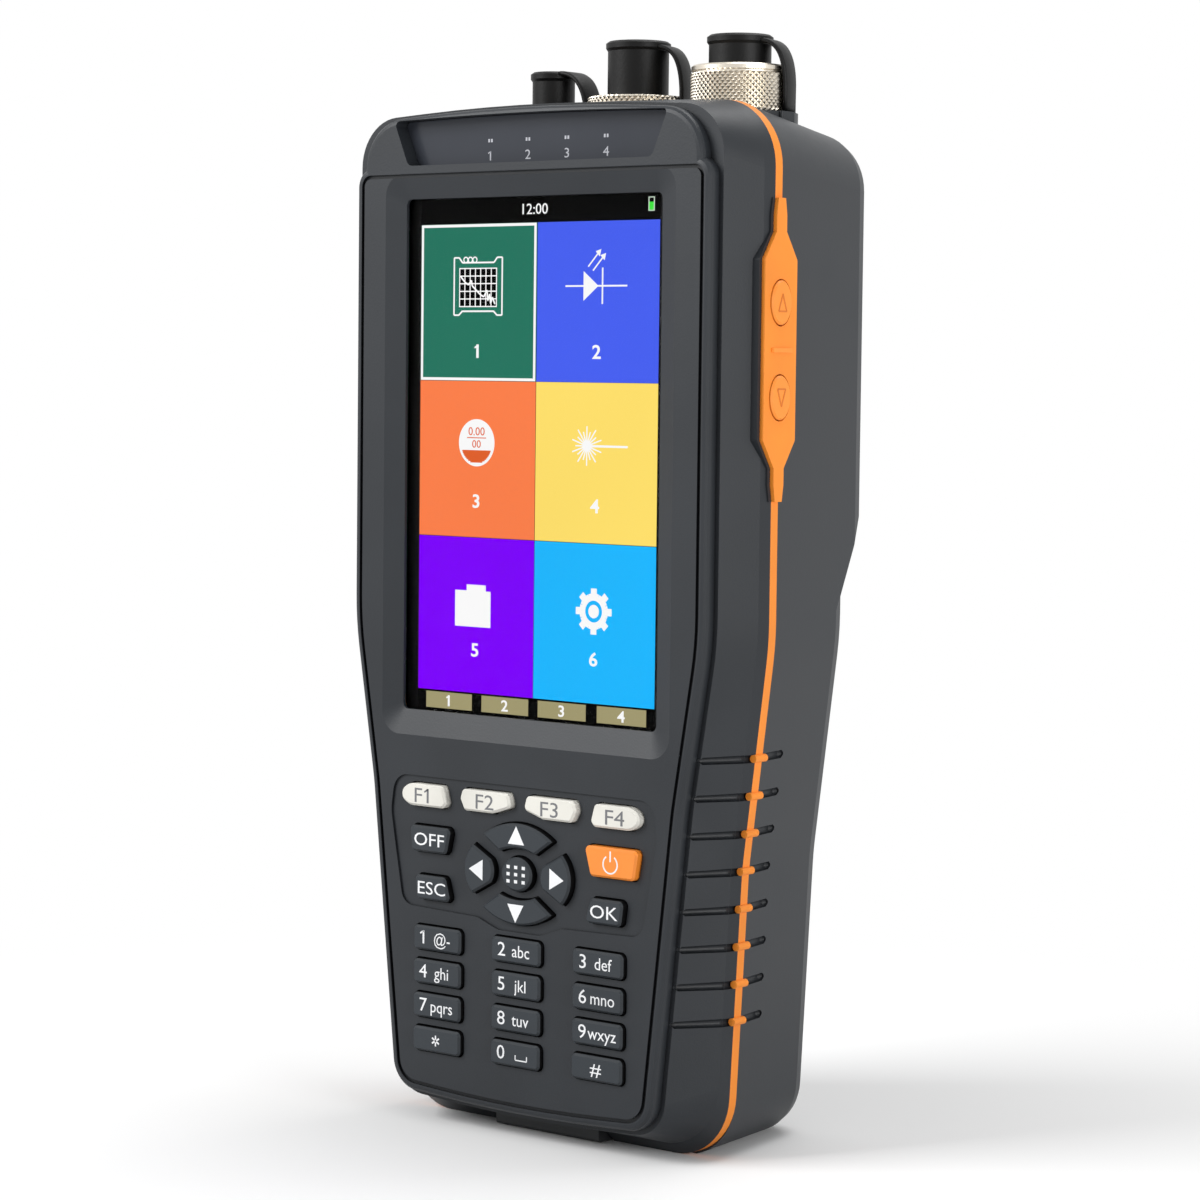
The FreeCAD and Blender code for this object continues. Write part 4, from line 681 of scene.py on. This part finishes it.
# %% Arrows, star, dots and power sign
for name, turn in (("key_up", 0), ("key_left", 90), ("key_down", 180), ("key_right", -90)):
    x, z, ink = face_of(name)
    ink.disc(x, z, 2.2, sides=3, turn=math.radians(turn))
    ink.finish(f"{name}_legend", INK_WHITE, name, "slate_key")

x, z, ink = face_of("key_star")
for turn in (30, 90, 150):
    ink.bar(x, z, 2.0, 0.32, math.radians(turn))
ink.finish("key_star_legend", INK_WHITE, "key_star", "slate_key")

x, z, ink = face_of("key_center")
for across in (-1.8, 0, 1.8):
    for up in (-1.3, 0, 1.3):
        ink.bar(x + across, z + up, 0.75, 0.6)
ink.finish("key_center_legend", INK_WHITE, "key_center", "slate_key")

x, z, ink = face_of("key_power")
ink.ring(x, z - 0.2, 1.6, 0.3, gap=70)
ink.bar(x, z + 1.2, 0.3, 1.9)
ink.finish("key_power_legend", INK_WHITE, "key_power", "orange_key")

# %% [markdown]
# ## Indicators in the brow
# Each of four lamps behind the window shines through a pair of tiny clear marks. A plain
# number below stands for the port or the state that it belongs to.

# %% Indicator marks and numbers
LED_X = (-11.1, -2.2, 6.9, 15.9)
LED_Z, NUMBER_Z = 180.6, 177.9
_, _, numbers = face_of("led_window")
for number, x in enumerate(LED_X, start=1):
    numbers.text(str(number), x, NUMBER_Z, 1.7)
numbers.finish("indicator_numbers", INK_DIM, HOUSING, "tinted_window")
_, _, points = face_of("led_window")
for x in LED_X:
    for across in (-0.35, 0.3):
        points.bar(x + across, LED_Z, 0.4, 0.6)
points.finish("indicator_marks", INK_DIM, HOUSING, "tinted_window")

# %% [markdown]
# ## Raised marks on the side pad
# The two oval side keys are moulded with a low raised triangle each, one up and one down, so
# that a finger finds them without a look. The triangles are a darker orange than the keys,
# which is painted shade. A low rib on the pad keeps the two keys apart. Their board is turned
# a quarter about Z, so that it faces sideways.

# %% Side key arrows and rib
RAISED, BURIED = 0.06, 0.14     # mm above the side's surface, and whole thickness
SIDEWAYS = math.radians(90)


def side_of(name):
    """Middle of a piece's right side, in mm, and a board for marks that rise from it."""
    low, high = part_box(name)
    board = Board(-high.x / MM - RAISED, BURIED)
    return (low.y + high.y) / 2 / MM, (low.z + high.z) / 2 / MM, board


HALF_WIDTH, HALF_HEIGHT = 1.15, 1.5
for name, way in (("side_button_up", 1), ("side_button_down", -1)):
    y, z, relief = side_of(name)
    base, tip = z - way * HALF_HEIGHT, z + way * HALF_HEIGHT
    relief.path([(y - HALF_WIDTH, base), (y + HALF_WIDTH, base), (y, tip), (y - HALF_WIDTH, base)],
                0.28)
    # the arrows' darker orange is painted shade
    relief.finish(f"{name}_arrow", SHADED_ARROW, name, "side_key", turn=SIDEWAYS)

y, z, rib = side_of("side_button_pad")
rib.bar(y + 0.5, z, 5.4, 0.8)
rib.finish("side_pad_rib", SIDE_KEY, HOUSING, "orange_rubber", turn=SIDEWAYS)

# %% [markdown]
# ## Knurled port nuts
# The two wide ports carry nuts with a diamond knurl, rolled into the brass by a pair of
# slanted wheels. The wheels leave crossing V grooves, so a row of small pyramids stands on the
# rim. A profile is spun round the port's axis. Then every second point of the knurled band, in
# a chequer, is pushed in. Each quad is split along the line between its two low corners, which
# is where the bottom of a groove runs.

# %% Turned shapes
PORT_Y = 6.4
OTDR_X, OPM_X, VFL_X = 23.5, 0.0, -20.4


def spun(profile, steps, x):
    """Closed solid of revolution about a port's axis from (radius, height) corners, in mm."""
    mesh = bmesh.new()
    ring = [mesh.verts.new((radius, 0, height)) for radius, height in profile]
    edges = [mesh.edges.new(pair) for pair in zip(ring, ring[1:] + ring[:1])]
    bmesh.ops.spin(mesh, geom=ring + edges, axis=(0, 0, 1), cent=(0, 0, 0), angle=math.tau,
                   steps=steps, use_merge=True)
    bmesh.ops.translate(mesh, verts=mesh.verts, vec=(x, PORT_Y, 0))
    bmesh.ops.recalc_face_normals(mesh, faces=mesh.faces)
    return mesh


print("ports stand at x", (VFL_X, OPM_X, OTDR_X), "mm")

# %% [markdown]
# ## Rolling the knurl
# The band has two points round the nut for each diamond, and as many rows as make the diamonds
# a little taller than wide. The floor of the nut has a wider bore, which clears the flange.

# %% Knurled nuts
KNURL_DEPTH = 0.32
FOOT_CHAMFER = 0.4
FLANGE_ROOM, FLANGE_HEIGHT = 1.7, 1.2
NUT_LOW, NUT_BORE = 186.1, 6.2


def knurled_nut(name, x, radius, band_top, rim, diamonds, rows):
    """Nut with a knurled band up to band_top and the plain turned rim above it."""
    base = NUT_LOW + FOOT_CHAMFER
    rise = (band_top - base) / rows
    band = [(radius, base + rise * row) for row in range(rows + 1)]
    outer = [(radius - FOOT_CHAMFER, NUT_LOW), *band, *rim]
    wide, step = NUT_BORE + FLANGE_ROOM, NUT_LOW + FLANGE_HEIGHT
    nut = spun([(wide, NUT_LOW), *outer, (NUT_BORE, rim[-1][1]), (NUT_BORE, step), (wide, step)],
               2 * diamonds, x)
    low_points = set()
    for point in nut.verts:
        away = Vector((point.co.x - x, point.co.y - PORT_Y, 0))
        row = (point.co.z - base) / rise
        if abs(away.length - radius) > 1e-3 or not -0.01 < row < rows + 0.01:
            continue
        column = math.atan2(away.y, away.x) / math.tau * 2 * diamonds
        if (round(column) + round(row)) % 2:
            point.co -= away.normalized() * KNURL_DEPTH
            low_points.add(point)
    for face in list(nut.faces):
        lows = [point for point in face.verts if point in low_points]
        if len(face.verts) == 4 and len(lows) == 2:
            bmesh.utils.face_split(face, *lows)
    bmesh.ops.scale(nut, verts=nut.verts, vec=(MM, MM, MM))
    plain_nut = name.replace("_knurled", "")
    piece = keep_piece(nut, name, KNURL)
    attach(piece, plain_nut)
    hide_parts(plain_nut)


TALL_RIM = [(8.5, 193.0), (8.5, 193.2), (8.75, 193.4), (8.75, 194.1), (8.4, 194.4)]
knurled_nut("otdr_nut_knurled", OTDR_X, 8.9, 192.8, TALL_RIM, diamonds=51, rows=12)
knurled_nut("opm_nut_knurled", OPM_X, 9.3, 189.4, [(8.9, 189.7)], diamonds=53, rows=6)

# %% [markdown]
# ## Dust cap straps
# Each dust cap hangs on a flat rubber tongue that leaves the cap below its rim, arches over the
# nut and runs down into the housing. The tongue is a ribbon: its middle line is one smooth
# curve, and its thickness follows the curve's side. A chamfered section stands at each point of
# that line, and neighbours are bridged. It stays fixed where it is drawn.

# %% Ribbons
SECTION = ((1, -0.8), (0.6, -1), (-0.6, -1), (-1, -0.8), (-1, 0.8), (-0.6, 1), (0.6, 1), (1, 0.8))


def tongue(name, x, points, width_top, width_foot, bearing=0.0, thickness=0.9):
    """Ribbon along (reach, height) points from cap to foot, at a bearing round the port's axis."""
    mesh = bmesh.new()
    count = len(points)
    rings = []
    for index, (reach, height) in enumerate(points):
        before = points[max(index - 1, 0)]
        after = points[min(index + 1, count - 1)]
        run = Vector((after[0] - before[0], after[1] - before[1])).normalized()
        side = Vector((-run.y, run.x)) * thickness / 2
        share = index / (count - 1)
        half = (width_top + (width_foot - width_top) * share) / 2
        corners = [mesh.verts.new((x + reach + side.x * out, PORT_Y + half * across,
                                   height + side.y * out)) for out, across in SECTION]
        rings.append([mesh.edges.new(pair) for pair in zip(corners, corners[1:] + corners[:1])])
    for one, other in zip(rings, rings[1:]):
        bmesh.ops.bridge_loops(mesh, edges=one + other)
    for end in (rings[0], rings[-1]):
        bmesh.ops.contextual_create(mesh, geom=end)
    bmesh.ops.recalc_face_normals(mesh, faces=mesh.faces)
    for face in mesh.faces:
        face.smooth = True
    bmesh.ops.rotate(mesh, verts=mesh.verts, cent=(x, PORT_Y, 0),
                     matrix=Matrix.Rotation(math.radians(bearing), 3, "Z"))
    bmesh.ops.scale(mesh, verts=mesh.verts, vec=(MM, MM, MM))
    piece = keep_piece(mesh, name, RUBBER)
    port = name.split("_")[0]
    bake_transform(piece)
    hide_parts(f"{port}_strap")


def arch(start, corner, end, steps=14):
    """Smooth curve from start towards corner and on to end."""
    points = []
    for step in range(steps + 1):
        share = step / steps
        points.append(tuple((1 - share) ** 2 * a + 2 * share * (1 - share) * b + share ** 2 * c
                            for a, b, c in zip(start, corner, end)))
    return points


WIDE_ARCH = arch((5.0, 198.7), (9.4, 198.8), (9.7, 191.0)) + [(9.7, 189.0), (9.7, 186.0)]
SMALL_ARCH = arch((3.4, 194.8), (8.8, 194.8), (9.6, 187.6)) + [(9.7, 186.0)]
for name, x in (("opm_tongue", OPM_X), ("otdr_tongue", OTDR_X)):
    tongue(name, x, WIDE_ARCH, 6.0, 4.8, bearing=14.0)
tongue("vfl_tongue", VFL_X, SMALL_ARCH, 5.6, 4.6)

# %% [markdown]
# ## Light
# The tester stands in a studio under three soft boxes. The large key light is at the left and
# front, a weak one at the right lifts the side, and one above and behind draws the top's rim.

# %% Soft boxes
def soft_box(name, place, aim, width, power):
    """Square lamp of a width (m) and a power (W) that looks at a point."""
    data = bpy.data.lights.new(name, "AREA")
    data.shape = "SQUARE"
    data.size = width
    data.energy = power
    lamp = bpy.data.objects.new(name, data)
    lamp.location = place
    lamp.rotation_euler = (Vector(aim) - Vector(place)).to_track_quat("-Z", "Y").to_euler()
    bpy.context.collection.objects.link(lamp)
    print(name, power, "W")


soft_box("key_light", (-0.6, -0.8, 0.7), (0, 0, 0.1), 0.6, 12)
soft_box("fill_light", (0.8, -0.2, 0.2), (0, 0, 0.09), 0.35, 3.2)
soft_box("top_light", (0.1, 0.25, 0.9), (0, 0, 0.12), 0.5, 3.5)

# %% [markdown]
# ## Paper floor
# The floor is one sheet of white paper. Near the tester it is lit like paper, so it keeps the
# contact shadow. Further out it turns into plain white light, so that no horizon shows. Paper
# throws much light back up, and dark walls of a real studio would swallow most of it, so light
# that lands on the tester finds a greyer sheet than the eye does.

# %% Floor
PAPER_SEEN, PAPER_BOUNCE = "#f4f4f4", "#b4b4b4"
SHADOW_REACH, WHITE_FROM = 0.05, 0.24    # m from the middle
FLOOR_HALF = 4.0


def seen_rays(tree):
    """1 for what the eye, a mirror or glass sees, 0 for light that lands on the tester."""
    path = add_node(tree, "ShaderNodeLightPath")
    seen = path.outputs["Is Camera Ray"]
    for kind in ("Is Glossy Ray", "Is Transmission Ray"):
        both = add_node(tree, "ShaderNodeMath", {"operation": "MAXIMUM"})
        tree.links.new(seen, both.inputs[0])
        tree.links.new(path.outputs[kind], both.inputs[1])
        seen = both.outputs["Value"]
    return seen


PAPER, tree, paper, spot = blank_material("white_paper_sweep")
paper.inputs["Roughness"].default_value = 0.9
paper.inputs["Specular IOR Level"].default_value = 0.1
sight = add_node(tree, "ShaderNodeMix", {"data_type": "RGBA"}, {"Factor": seen_rays(tree)})
sight.inputs[6].default_value = tint(PAPER_BOUNCE)
sight.inputs[7].default_value = tint(PAPER_SEEN)
tree.links.new(sight.outputs[2], paper.inputs["Base Color"])
away = add_node(tree, "ShaderNodeVectorMath", {"operation": "LENGTH"}, {"Vector": spot})
fade = add_node(tree, "ShaderNodeMapRange", {"From Min": SHADOW_REACH, "From Max": WHITE_FROM,
                                             "interpolation_type": "SMOOTHSTEP"},
                {"Value": away.outputs["Value"]})
glow = add_node(tree, "ShaderNodeEmission", {"Strength": 1.0})
blend = add_node(tree, "ShaderNodeMixShader", links={"Fac": fade.outputs["Result"]})
tree.links.new(paper.outputs["BSDF"], blend.inputs[1])
tree.links.new(glow.outputs["Emission"], blend.inputs[2])
tree.links.new(blend.outputs["Shader"], tree.nodes["Material Output"].inputs["Surface"])

sweep = bmesh.new()
bmesh.ops.create_grid(sweep, x_segments=1, y_segments=1, size=FLOOR_HALF)
keep_piece(sweep, "floor", PAPER)

# %% [markdown]
# ## White surroundings
# The world is white where it is seen, mirrored or looked at through glass. As a source of
# light it is much weaker, so that grooves and undersides stay dark.

# %% World
WORLD_LIGHT, WORLD_SEEN = 0.36, 1.0
world = bpy.data.worlds.new("studio")
bpy.context.scene.world = world
world.use_nodes = True
tree = world.node_tree
backdrop = tree.nodes["Background"]
strength = add_node(tree, "ShaderNodeMapRange", {"To Min": WORLD_LIGHT, "To Max": WORLD_SEEN},
                    {"Value": seen_rays(tree)})
tree.links.new(strength.outputs["Result"], backdrop.inputs["Strength"])
backdrop.inputs["Color"].default_value = tint("#ffffff")
print("world lights with", WORLD_LIGHT, "and shows as", WORLD_SEEN)

# %% [markdown]
# Dressing must not make the tester bigger.
